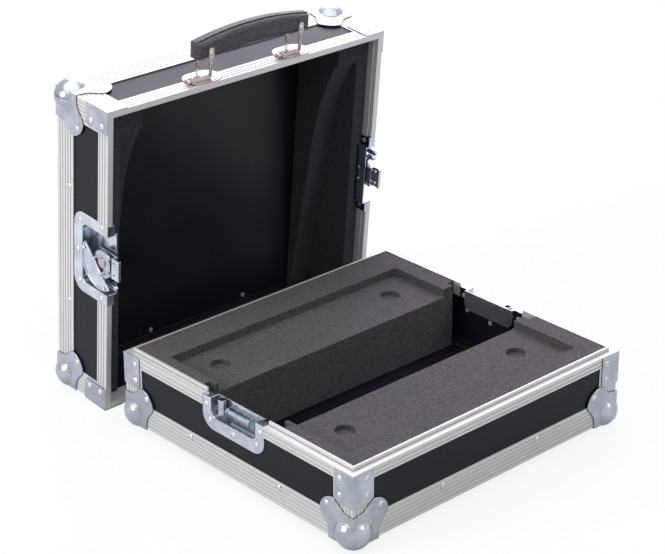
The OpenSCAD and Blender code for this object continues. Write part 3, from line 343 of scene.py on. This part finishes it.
def foam_finish(name, colour, lean):
    """Closed-cell foam: charcoal with light and dark cells, dull, with a faint sheen."""
    finish, bench, shader = new_finish(name)
    where = bench.place(lean)
    cells = bench.cells(where, 560.0)
    grain = bench.noise(where, 430.0, 2.0, 0.6)
    fine = bench.noise(where, 1100.0, 3.0, 0.7)
    streak = bench.noise(bench.place(lean, (110.0, 750.0, 750.0)), 1.0, 2.0)
    cloud = bench.noise(where, 26.0, 3.0)
    glint = bench.spread(bench.noise(where, 700.0, 0.0), 0.83, 0.86)
    tone = bench.blend(bench.spread(grain, 0.40, 0.60), tinted(colour, 0.36), tinted(colour, 1.7))
    tone = bench.blend(bench.spread(fine, 0.3, 0.7, 0.0, 0.5), tone, tinted(colour, 0.6))
    tone = bench.blend(bench.spread(cells, 0.1, 0.6, 0.0, 0.35), tone, tinted(colour, 0.6))
    tone = bench.blend(bench.spread(streak, 0.38, 0.66, 0.0, 0.45), tone, tinted(colour, 1.7))
    tone = bench.blend(bench.spread(cloud, 0.4, 0.7, 0.0, 0.25), tone, tinted(colour, 1.25))
    tone = bench.blend(glint, tone, tinted(colour, 3.0))
    bench.feed(shader.inputs["Base Color"], tone)
    bench.feed(shader.inputs["Roughness"], bench.spread(fine, 0.3, 0.7, 0.80, 0.95))
    relief = bench.bump(cells, 0.5, 0.0008)
    relief = bench.bump(grain, 0.7, 0.0010, relief)
    bench.feed(shader.inputs["Normal"], relief)
    shader.inputs["Specular IOR Level"].default_value = 0.15
    shader.inputs["Sheen Weight"].default_value = 0.12
    shader.inputs["Sheen Roughness"].default_value = 0.6
    return finish


def dress(nodes, finish):
    """Gives the finish to every slot of these CAD nodes."""
    for name in nodes:
        node = frame["nodes"][name]
        if not node.material_slots:
            node.data.materials.append(finish)
        for slot in node.material_slots:
            slot.material = finish


# Foam pieces

def jaw_profile(low, high, settings):
    """Side outline of a block of the lid, as points of (height, depth from the front)."""
    foot, top, back = low[2], high[2], high[1] - low[1]
    start = (foot + top) / 2 + settings.curve_start
    front, deep = settings.curve_depth, settings.foot_depth
    tilt = math.atan2(deep - front, start - foot)
    end = top - settings.nose_height
    points = [(foot, deep), (start, front)]
    for i in range(1, CURVE_STEPS + 1):
        height = start + (end - start) * i / CURVE_STEPS
        turn = math.asin((height - start) / settings.curve_radius + math.sin(tilt))
        points.append((height, front - settings.curve_radius * (math.cos(tilt) - math.cos(turn))))
    return points + [(end, 0.0), (top, 0.0), (top, back), (foot, back)]


def prism(points, x0, x1, front):
    """Solid between two x planes, from an outline of (height, depth from the front)."""
    mesh = bpy.data.meshes.new("prism")
    bm = bmesh.new()
    ends = [[bm.verts.new((x, front + depth, height)) for height, depth in points]
            for x in (x0, x1)]
    bm.faces.new(ends[0])
    bm.faces.new(ends[1][::-1])
    for i in range(len(points)):
        j = (i + 1) % len(points)
        bm.faces.new((ends[0][j], ends[0][i], ends[1][i], ends[1][j]))
    bmesh.ops.recalc_face_normals(bm, faces=bm.faces)
    bm.to_mesh(mesh)
    bm.free()
    return mesh


def combined(first, second, operation):
    """Mesh of two solids put together or cut from one another."""
    pair = [bpy.data.objects.new("solid", mesh) for mesh in (first, second)]
    for solid in pair:
        bpy.context.scene.collection.objects.link(solid)
    change = pair[0].modifiers.new("combine", "BOOLEAN")
    change.operation = operation
    change.solver = "EXACT"
    change.object = pair[1]
    seen = pair[0].evaluated_get(bpy.context.evaluated_depsgraph_get())
    mesh = bpy.data.meshes.new_from_object(seen)
    for solid in pair:
        bpy.data.objects.remove(solid)
    for used in (first, second):
        bpy.data.meshes.remove(used)
    return mesh


def jaw_mesh(node, settings):
    """Block of the lid with the sheet that lines the wall, hollowed for the latch dish."""
    lean = Matrix.Rotation(LID_LEAN, 4, "X")
    upright = [lean.inverted() @ v.co for v in frame["nodes"][node].data.vertices]
    low = [min(v[i] for v in upright) for i in range(3)]
    high = [max(v[i] for v in upright) for i in range(3)]
    outer, inward = (low[0], 1.0) if low[0] + high[0] < 0 else (high[0], -1.0)
    back, middle = high[1] - low[1], (low[2] + high[2]) / 2
    sheet = [(low[2], 0.0), (high[2], 0.0), (high[2], back), (low[2], back)]
    half, deep = settings.room_half, settings.room_depth
    room = [(middle - half, -OVERSHOOT), (middle + half, -OVERSHOOT),
            (middle + half, deep), (middle - half, deep)]
    mesh = combined(
        prism(jaw_profile(low, high, settings), outer, outer + inward * (high[0] - low[0]), low[1]),
        prism(sheet, outer, outer + inward * settings.sheet_thickness, low[1]), "UNION")
    mesh = combined(
        mesh,
        prism(room, outer - inward * OVERSHOOT, outer + inward * settings.room_reach, low[1]),
        "DIFFERENCE")
    mesh.transform(lean)
    return mesh


def foam_piece(node, name, body, finish, settings, mesh=None):
    """Foam block with soft cut edges and faces that are not quite flat."""
    if mesh is None:
        mesh = frame["nodes"][node].data.copy()
    mesh.name = name
    bm = bmesh.new()
    bm.from_mesh(mesh)
    bmesh.ops.remove_doubles(bm, verts=bm.verts, dist=WELD_DISTANCE)
    bmesh.ops.dissolve_limit(bm, angle_limit=FLAT_ANGLE, verts=bm.verts, edges=bm.edges)
    sharp = [e for e in bm.edges
             if len(e.link_faces) == 2 and e.calc_face_angle() > SHARP_ANGLE]
    bmesh.ops.bevel(bm, geom=sharp, offset=settings.edge_radius, segments=3, profile=0.5,
                    affect="EDGES", clamp_overlap=True)
    low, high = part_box(node)
    for axis in range(3):
        step = settings.grid_step
        normal = Vector([1.0 if axis == i else 0.0 for i in range(3)])
        for k in range(1, int((high[axis] - low[axis]) / step) + 1):
            cut = Vector([low[i] + (step * k if i == axis else 0.0) for i in range(3)])
            bmesh.ops.bisect_plane(bm, geom=bm.verts[:] + bm.edges[:] + bm.faces[:],
                                   dist=CUT_DISTANCE, plane_co=cut, plane_no=normal)
    bm.normal_update()
    for vert in bm.verts:
        wave = noise.noise(vert.co * settings.wave_scale) * settings.wave_height
        nibble = noise.noise(vert.co * settings.wave_scale * NIBBLE_SCALE)
        nibble = nibble * settings.wave_height * NIBBLE_SHARE
        vert.co -= vert.normal * (abs(wave) + abs(nibble))
    for face in bm.faces:
        face.smooth = True
    bm.to_mesh(mesh)
    bm.free()
    mesh.materials.clear()
    mesh.materials.append(finish)
    piece = bpy.data.objects.new(name, mesh)
    bpy.context.scene.collection.objects.link(piece)
    sharpen(piece)
    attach(piece, body)
    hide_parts(node)


def sharpen(piece):
    """Even shading on the faces, with the rounded edges between them."""
    weighted = piece.modifiers.new("even_faces", "WEIGHTED_NORMAL")
    weighted.keep_sharp = False
    weighted.weight = 80


# Rivet heads

def lathe(bm, profile, place, axis, steps=24):
    """Turns a profile of (radius, height) points about an axis that stands at a place."""
    turn = axis.to_track_quat("Z", "Y").to_matrix()
    rings = []
    for radius, height in profile:
        if radius == 0.0:
            rings.append([bm.verts.new(place + turn @ Vector((0.0, 0.0, height)))])
            continue
        angles = [2 * math.pi * i / steps for i in range(steps)]
        ring = [Vector((radius * math.cos(a), radius * math.sin(a), height)) for a in angles]
        rings.append([bm.verts.new(place + turn @ spot) for spot in ring])
    for low, high in zip(rings, rings[1:]):
        for i in range(steps):
            corners = [low[i % len(low)], low[(i + 1) % len(low)],
                       high[(i + 1) % len(high)], high[i % len(high)]]
            bm.faces.new(list(dict.fromkeys(corners)))


def joint(name):
    return next(j for j in frame["joints"] if j["name"] == name)


def wing_heads(side, finish, settings):
    """Two small heads on a wing, near the ends of its straight edge."""
    hinge, turn = joint(side + "_wing_fold"), joint(side + "_rotor_turn")
    along = Vector(hinge["axis"]).normalized()
    out = Vector(turn["axis"]).normalized()
    across = along.cross(out)
    middle = Vector(hinge["pos_m"])
    if across.dot(middle - Vector(turn["pos_m"])) < 0:
        across.negate()
    corners = [v.co for v in frame["nodes"][side + "_latch_wing"].data.vertices]
    near = [c for c in corners if across.dot(c - middle) < settings.head_in * 1.5]
    half = max(abs(along.dot(c - middle)) for c in near)
    face = max(out.dot(c) for c in corners)
    r, h = settings.head_radius, settings.head_height
    profile = [(r, -h / 2), (r, h * 0.2), (r * 0.8, h * 0.75),
               (r * 0.45, h), (r * 0.3, h * 0.7), (0.0, h * 0.6)]
    mesh = bpy.data.meshes.new(side + "_wing_heads")
    bm = bmesh.new()
    for end in (-1, 1):
        place = middle + along * end * (half - settings.head_in) + across * settings.head_in
        place += out * (face - out.dot(place))
        lathe(bm, profile, place, out)
    bmesh.ops.recalc_face_normals(bm, faces=bm.faces)
    for f in bm.faces:
        f.smooth = True
    bm.to_mesh(mesh)
    bm.free()
    mesh.materials.append(finish)
    piece = bpy.data.objects.new(side + "_wing_heads", mesh)
    bpy.context.scene.collection.objects.link(piece)
    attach(piece, side + "_wing")


# Settings

class FlightCaseFinishes(bpy.types.PropertyGroup):
    """Colours of the finishes."""

    laminate: bpy.props.FloatVectorProperty(
        name="Laminate", description="Colour of the black laminate", subtype="COLOR",
        default=(0.0098, 0.0086, 0.0150), min=0.0, max=1.0)
    aluminium: bpy.props.FloatVectorProperty(
        name="Aluminium", description="Colour of the anodised profiles", subtype="COLOR",
        default=(0.74, 0.73, 0.745), min=0.0, max=1.0)
    zinc: bpy.props.FloatVectorProperty(
        name="Zinc", description="Colour of the zinc plate", subtype="COLOR",
        default=(0.42, 0.455, 0.515), min=0.0, max=1.0)
    rivet: bpy.props.FloatVectorProperty(
        name="Rivets", description="Colour of the rivets", subtype="COLOR",
        default=(0.74, 0.74, 0.75), min=0.0, max=1.0)
    nickel: bpy.props.FloatVectorProperty(
        name="Nickel", description="Colour of the handle plates and bails", subtype="COLOR",
        default=(0.47, 0.42, 0.395), min=0.0, max=1.0)
    grip: bpy.props.FloatVectorProperty(
        name="Grip", description="Colour of the moulded grip", subtype="COLOR",
        default=(0.075, 0.069, 0.083), min=0.0, max=1.0)
    foam: bpy.props.FloatVectorProperty(
        name="Foam", description="Colour of the foam", subtype="COLOR",
        default=(0.088, 0.080, 0.090), min=0.0, max=1.0)
    # Painted shade: the lid's foam is the tray's foam made darker, for the shade inside the lid
    lid_foam: bpy.props.FloatVectorProperty(
        name="Lid foam", description="Colour of the foam of the lid", subtype="COLOR",
        default=(0.038, 0.038, 0.050), min=0.0, max=1.0)


class FlightCaseFoam(bpy.types.PropertyGroup):
    """Form of the cut foam."""

    edge_radius: bpy.props.FloatProperty(
        name="Edge radius", description="Roundness of the cut edges", unit="LENGTH",
        default=0.0011, min=0.0004, max=0.004)
    grid_step: bpy.props.FloatProperty(
        name="Face step", description="Spacing of the points on a cut face", unit="LENGTH",
        default=0.011, min=0.005, max=0.03)
    wave_scale: bpy.props.FloatProperty(
        name="Wave scale", description="Waves of a cut face for each metre",
        default=28.0, min=5.0, max=100.0)
    wave_height: bpy.props.FloatProperty(
        name="Wave height", description="How far a cut face wanders", unit="LENGTH",
        default=0.0005, min=0.0, max=0.002)


class FlightCaseJaws(bpy.types.PropertyGroup):
    """Form of the foam blocks of the lid. Depths are measured from the nose."""

    nose_height: bpy.props.FloatProperty(
        name="Nose height", description="Height of the nose at the handle", unit="LENGTH",
        default=0.029, min=0.02, max=0.04)
    foot_depth: bpy.props.FloatProperty(
        name="Foot depth", description="Depth of the face at the foot", unit="LENGTH",
        default=0.066, min=0.05, max=0.07)
    curve_depth: bpy.props.FloatProperty(
        name="Curve depth", description="Depth of the face where the curve starts", unit="LENGTH",
        default=0.036, min=0.03, max=0.045)
    curve_start: bpy.props.FloatProperty(
        name="Curve start", description="Start of the curve above the middle", unit="LENGTH",
        default=0.05, min=0.03, max=0.07)
    curve_radius: bpy.props.FloatProperty(
        name="Curve radius", description="Radius of the curve up to the nose", unit="LENGTH",
        default=0.32, min=0.28, max=0.5)
    sheet_thickness: bpy.props.FloatProperty(
        name="Sheet", description="Thickness of the sheet that lines the wall", unit="LENGTH",
        default=0.018, min=0.01, max=0.03)
    room_half: bpy.props.FloatProperty(
        name="Dish room half width", description="Half width of the hollow for the dish",
        unit="LENGTH", default=0.0396, min=0.03, max=0.05)
    room_depth: bpy.props.FloatProperty(
        name="Dish room depth", description="Depth of the hollow for the dish", unit="LENGTH",
        default=0.0351, min=0.03, max=0.05)
    room_reach: bpy.props.FloatProperty(
        name="Dish room reach", description="How far the hollow goes into the sheet", unit="LENGTH",
        default=0.0055, min=0.004, max=0.01)


class FlightCaseHeads(bpy.types.PropertyGroup):
    """Small rivet heads on the wings of the latches."""

    head_radius: bpy.props.FloatProperty(
        name="Head radius", description="Radius of a rivet head", unit="LENGTH",
        default=0.0019, min=0.001, max=0.003)
    head_height: bpy.props.FloatProperty(
        name="Head height", description="Height of a rivet head", unit="LENGTH",
        default=0.0008, min=0.0003, max=0.0015)
    head_in: bpy.props.FloatProperty(
        name="Inset", description="Distance of a rivet head from the edges of the wing",
        unit="LENGTH", default=0.0055, min=0.003, max=0.01)


class FlightCaseStudio(bpy.types.PropertyGroup):
    """Light and floor of the studio."""

    surround: bpy.props.FloatProperty(
        name="Surround", description="Strength of the light from all sides",
        default=0.16, min=0.0, max=2.0)
    top_power: bpy.props.FloatProperty(
        name="Top lamp", description="Power of the soft lamp overhead", unit="POWER",
        default=62.0, min=0.0, max=500.0)
    left_power: bpy.props.FloatProperty(
        name="Left lamp", description="Power of the soft lamp on the left", unit="POWER",
        default=30.0, min=0.0, max=500.0)
    right_power: bpy.props.FloatProperty(
        name="Right lamp", description="Power of the soft lamp on the right", unit="POWER",
        default=8.0, min=0.0, max=500.0)
    back_power: bpy.props.FloatProperty(
        name="Back lamp", description="Power of the soft lamp behind on the right", unit="POWER",
        default=50.0, min=0.0, max=500.0)
    floor_size: bpy.props.FloatProperty(
        name="Floor", description="Side of the floor", unit="LENGTH",
        default=14.0, min=2.0, max=40.0)


def half_nodes(half, kind):
    """Names of the CAD nodes of one half of the case that start with this kind."""
    return sorted(n for n in frame["nodes"] if n.startswith(half + "_" + kind))


# Operators

class FLIGHTCASE_OT_wall_panels(bpy.types.Operator):
    """Laminate on the wall panels of the tray and the lid"""

    bl_idname = "flightcase.wall_panels"
    bl_label = "Wall panels"

    def execute(self, context):
        colour = context.scene.flight_case_finishes.laminate
        for half, lean in (("base", 0.0), ("lid", LID_LEAN)):
            walls = [n for n in half_nodes(half, "panel") if n != "lid_panel_top"]
            dress(walls, laminate_finish(half + "_laminate", colour, WALL_GLOSS, lean))
        inner = laminate_finish("lid_inner_laminate", colour, INNER_GLOSS, LID_LEAN)
        dress(["lid_panel_top"], inner)
        return {"FINISHED"}


class FLIGHTCASE_OT_profiles(bpy.types.Operator):
    """Anodised aluminium on the rims, the edges and the corner angles"""

    bl_idname = "flightcase.profiles"
    bl_label = "Profiles"

    def execute(self, context):
        colour = context.scene.flight_case_finishes.aluminium
        tray_runs = {"x": ("front", "back"), "y": ("left", "right"), "z": ("corner_angles",)}
        lid_runs = {"x": ("foot", "handle"), "z": ("left", "right"), "y": ("corner_angles",)}
        for half, lean, runs in (("base", 0.0, tray_runs), ("lid", LID_LEAN, lid_runs)):
            plain = half_nodes(half, "rim") + half_nodes(half, "corner_angles")
            for run, ends in runs.items():
                finish = aluminium_finish(half + "_aluminium_" + run, colour, run, lean)
                dress([n for n in plain if n.endswith(ends)], finish)
                edges = [n for n in half_nodes(half, "edge") if n.endswith(ends)]
                if edges:
                    lined = aluminium_finish(half + "_edge_aluminium_" + run, colour, run, lean)
                    lacquer_inside(lined, half, lean)
                    dress(edges, lined)
        return {"FINISHED"}


class FLIGHTCASE_OT_corners(bpy.types.Operator):
    """Zinc-plated steel on the ball corners and the braces"""

    bl_idname = "flightcase.corners"
    bl_label = "Ball corners and braces"

    def execute(self, context):
        colour = context.scene.flight_case_finishes.zinc
        for half, lean in (("base", 0.0), ("lid", LID_LEAN)):
            nodes = [half + "_ball_corners", half + "_corner_braces"]
            dress(nodes, zinc_finish(half + "_zinc", colour, lean))
        return {"FINISHED"}


class FLIGHTCASE_OT_rivets(bpy.types.Operator):
    """Plain aluminium on the rivets"""

    bl_idname = "flightcase.rivets"
    bl_label = "Rivets"

    def execute(self, context):
        colour = context.scene.flight_case_finishes.rivet
        finish = bright_finish("rivet_metal", colour, 0.20, 0.36, ALUMINIUM_METAL)
        dress(["base_rivets", "lid_rivets"], finish)
        return {"FINISHED"}


class FLIGHTCASE_OT_latches(bpy.types.Operator):
    """Zinc plate on the butterfly latches, their dishes and the fittings of the tray"""

    bl_idname = "flightcase.latches"
    bl_label = "Latches"

    def execute(self, context):
        finishes = context.scene.flight_case_finishes
        plate = zinc_finish("latch_zinc", tinted(finishes.zinc, 1.3), 0.0)
        steel = bright_finish("latch_steel", tinted(finishes.zinc, 1.1), 0.16, 0.30)
        yellow = bright_finish("post_metal", finishes.nickel, 0.14, 0.28)
        pressed = ("_latch_dish", "_catch_dish", "_latch_wing", "_latch_hook")
        for side in ("left", "right"):
            dress([side + n for n in pressed], plate)
            dress([side + n for n in ("_latch_rotor", "_keeper")], steel)
            dress([side + n for n in ("_latch_post", "_wing_pin")], yellow)
        dress(["alignment_sleeves", "alignment_pegs"], steel)
        return {"FINISHED"}


class FLIGHTCASE_OT_wing_heads(bpy.types.Operator):
    """Rivet heads on the wings of the latches"""

    bl_idname = "flightcase.wing_heads"
    bl_label = "Wing rivet heads"

    def execute(self, context):
        finish = bright_finish("head_metal", context.scene.flight_case_finishes.rivet, 0.20, 0.34)
        for side in ("left", "right"):
            wing_heads(side, finish, context.scene.flight_case_heads)
        return {"FINISHED"}


class FLIGHTCASE_OT_handle(bpy.types.Operator):
    """Nickel plates and bails and the moulded grip of the carry handle"""

    bl_idname = "flightcase.handle"
    bl_label = "Carry handle"

    def execute(self, context):
        finishes = context.scene.flight_case_finishes
        nickel = bright_finish("handle_nickel", finishes.nickel, 0.12, 0.26)
        dress(["handle_plates", "handle_bails", "handle_pins"], nickel)
        dress(["handle_grip"], grip_finish("handle_moulding", finishes.grip))
        return {"FINISHED"}


class FLIGHTCASE_OT_tray_foam(bpy.types.Operator):
    """Foam blocks of the tray with the pocket for the pad"""

    bl_idname = "flightcase.tray_foam"
    bl_label = "Tray foam"

    def execute(self, context):
        finish = foam_finish("tray_foam", context.scene.flight_case_finishes.foam, 0.0)
        settings = context.scene.flight_case_foam
        foam_piece("base_foam_front", "tray_foam_front", "base", finish, settings)
        foam_piece("base_foam_back", "tray_foam_back", "base", finish, settings)
        return {"FINISHED"}


class FLIGHTCASE_OT_lid_foam(bpy.types.Operator):
    """Foam blocks of the lid that hold the pad down"""

    bl_idname = "flightcase.lid_foam"
    bl_label = "Lid foam"

    def execute(self, context):
        # Painted shade: the lid foam takes the darker copy of the foam colour, for the shade inside
        # the lid
        finish = foam_finish("lid_foam", context.scene.flight_case_finishes.lid_foam, LID_LEAN)
        settings = context.scene.flight_case_foam
        for side in ("left", "right"):
            node = "lid_foam_" + side
            jaw = jaw_mesh(node, context.scene.flight_case_jaws)
            foam_piece(node, "lid_foam_block_" + side, "lid", finish, settings, jaw)
        return {"FINISHED"}


def seen_ray(bench):
    """1 for rays of the camera and for those that metal and glass send out, else 0."""
    path = bench.add("LightPath")
    seen = bench.maths("MAXIMUM", path.outputs["Is Camera Ray"], path.outputs["Is Glossy Ray"])
    return bench.maths("MAXIMUM", seen, path.outputs["Is Transmission Ray"])


def soft_lamp(name, place, size, power, colour):
    """Round lamp that points at the case and is not seen itself."""
    lamp = bpy.data.lights.new(name, "AREA")
    lamp.color = colour
    lamp.shape = "DISK"
    lamp.size = size
    lamp.energy = power
    holder = bpy.data.objects.new(name, lamp)
    bpy.context.scene.collection.objects.link(holder)
    holder.location = place
    aim = Vector(LAMP_TARGET) - Vector(place)
    holder.rotation_euler = aim.to_track_quat("-Z", "Y").to_euler()
    holder.visible_camera = False


class FLIGHTCASE_OT_studio(bpy.types.Operator):
    """Pale floor, soft lamps, white surround and the camera of the photograph"""

    bl_idname = "flightcase.studio"
    bl_label = "Studio"

    def execute(self, context):
        studio = context.scene.flight_case_studio
        self.make_floor(studio)
        self.make_surround(context.scene, studio)
        for name, (place, size, power, colour) in LAMPS.items():
            soft_lamp(name, place, size, getattr(studio, power), colour)
        self.make_camera(context.scene)
        context.scene.view_settings.view_transform = "Standard"
        return {"FINISHED"}

    def make_floor(self, studio):
        half = studio.floor_size / 2
        mesh = bpy.data.meshes.new("studio_floor")
        bm = bmesh.new()
        bmesh.ops.create_grid(bm, x_segments=8, y_segments=8, size=half)
        bm.to_mesh(mesh)
        bm.free()
        floor = bpy.data.objects.new("studio_floor", mesh)
        bpy.context.scene.collection.objects.link(floor)
        finish = bpy.data.materials.new("studio_floor")
        finish.use_nodes = True
        tree = finish.node_tree
        tree.nodes.clear()
        bench = NodeBench(tree)
        tone = bench.blend(seen_ray(bench), FLOOR_TONE, WHITE)
        pale = bench.add("BsdfDiffuse", {"Color": tone})
        white = bench.add("Emission", {"Color": WHITE, "Strength": 1.0})
        camera_ray = bench.add("LightPath").outputs["Is Camera Ray"]
        lift = bench.maths("MULTIPLY", camera_ray, FLOOR_LIFT)
        mixed = bench.add("MixShader", {0: lift, 1: pale.outputs[0], 2: white.outputs[0]})
        bench.add("OutputMaterial", {"Surface": mixed.outputs[0]})
        mesh.materials.append(finish)

    def make_surround(self, scene, studio):
        world = bpy.data.worlds.new("studio_surround")
        scene.world = world
        world.use_nodes = True
        tree = world.node_tree
        tree.nodes.clear()
        bench = NodeBench(tree)
        light = bench.add("Background", {"Color": WHITE, "Strength": studio.surround})
        white = bench.add("Background", {"Color": WHITE, "Strength": 1.0})
        seen = seen_ray(bench)
        mixed = bench.add("MixShader", {0: seen, 1: light.outputs[0], 2: white.outputs[0]})
        bench.add("OutputWorld", {"Surface": mixed.outputs[0]})

    def make_camera(self, scene):
        lens = bpy.data.cameras.new("photo_camera")
        lens.sensor_fit = "HORIZONTAL"
        lens.sensor_width = SENSOR_WIDTH
        lens.lens = FOCAL_PIXELS * SENSOR_WIDTH / PHOTO_SIZE[0]
        camera = bpy.data.objects.new("photo_camera", lens)
        scene.collection.objects.link(camera)
        away = Vector((math.sin(CAMERA_AZIMUTH) * math.cos(CAMERA_ELEVATION),
                       -math.cos(CAMERA_AZIMUTH) * math.cos(CAMERA_ELEVATION),
                       math.sin(CAMERA_ELEVATION)))
        turn = away.to_track_quat("Z", "Y").to_matrix().to_4x4()
        camera.matrix_world = (Matrix.Translation(CAMERA_TARGET + away * CAMERA_DISTANCE)
                               @ turn @ Matrix.Rotation(CAMERA_ROLL, 4, "Z"))
        scene.camera = camera


PIECE_OPERATORS = (
    FLIGHTCASE_OT_wall_panels, FLIGHTCASE_OT_profiles, FLIGHTCASE_OT_corners,
    FLIGHTCASE_OT_rivets, FLIGHTCASE_OT_latches, FLIGHTCASE_OT_wing_heads, FLIGHTCASE_OT_handle,
    FLIGHTCASE_OT_tray_foam, FLIGHTCASE_OT_lid_foam, FLIGHTCASE_OT_studio,
)


class FLIGHTCASE_PT_panel(bpy.types.Panel):
    """Pieces and settings of the flight case"""

    bl_label = "Flight Case"
    bl_idname = "FLIGHTCASE_PT_panel"
    bl_space_type = "VIEW_3D"
    bl_region_type = "UI"
    bl_category = "Flight Case"

    def draw(self, context):
        for operator in PIECE_OPERATORS:
            self.layout.operator(operator.bl_idname)
        for group in SETTINGS:
            settings = getattr(context.scene, group)
            box = self.layout.box()
            for name in settings.bl_rna.properties.keys():
                if name not in {"rna_type", "name"}:
                    box.prop(settings, name)


SETTINGS = {
    "flight_case_finishes": FlightCaseFinishes,
    "flight_case_foam": FlightCaseFoam,
    "flight_case_jaws": FlightCaseJaws,
    "flight_case_heads": FlightCaseHeads,
    "flight_case_studio": FlightCaseStudio,
}


def register():
    for name, group in SETTINGS.items():
        bpy.utils.register_class(group)
        setattr(bpy.types.Scene, name, bpy.props.PointerProperty(type=group))
    for cls in PIECE_OPERATORS + (FLIGHTCASE_PT_panel,):
        bpy.utils.register_class(cls)


def unregister():
    for cls in (FLIGHTCASE_PT_panel,) + PIECE_OPERATORS[::-1]:
        bpy.utils.unregister_class(cls)
    for name, group in SETTINGS.items():
        delattr(bpy.types.Scene, name)
        bpy.utils.unregister_class(group)


def main():
    register()
    bpy.ops.flightcase.wall_panels()
    bpy.ops.flightcase.profiles()
    bpy.ops.flightcase.corners()
    bpy.ops.flightcase.rivets()
    bpy.ops.flightcase.latches()
    bpy.ops.flightcase.wing_heads()
    bpy.ops.flightcase.handle()
    bpy.ops.flightcase.tray_foam()
    bpy.ops.flightcase.lid_foam()
    bpy.ops.flightcase.studio()


if __name__ == "__main__":
    main()
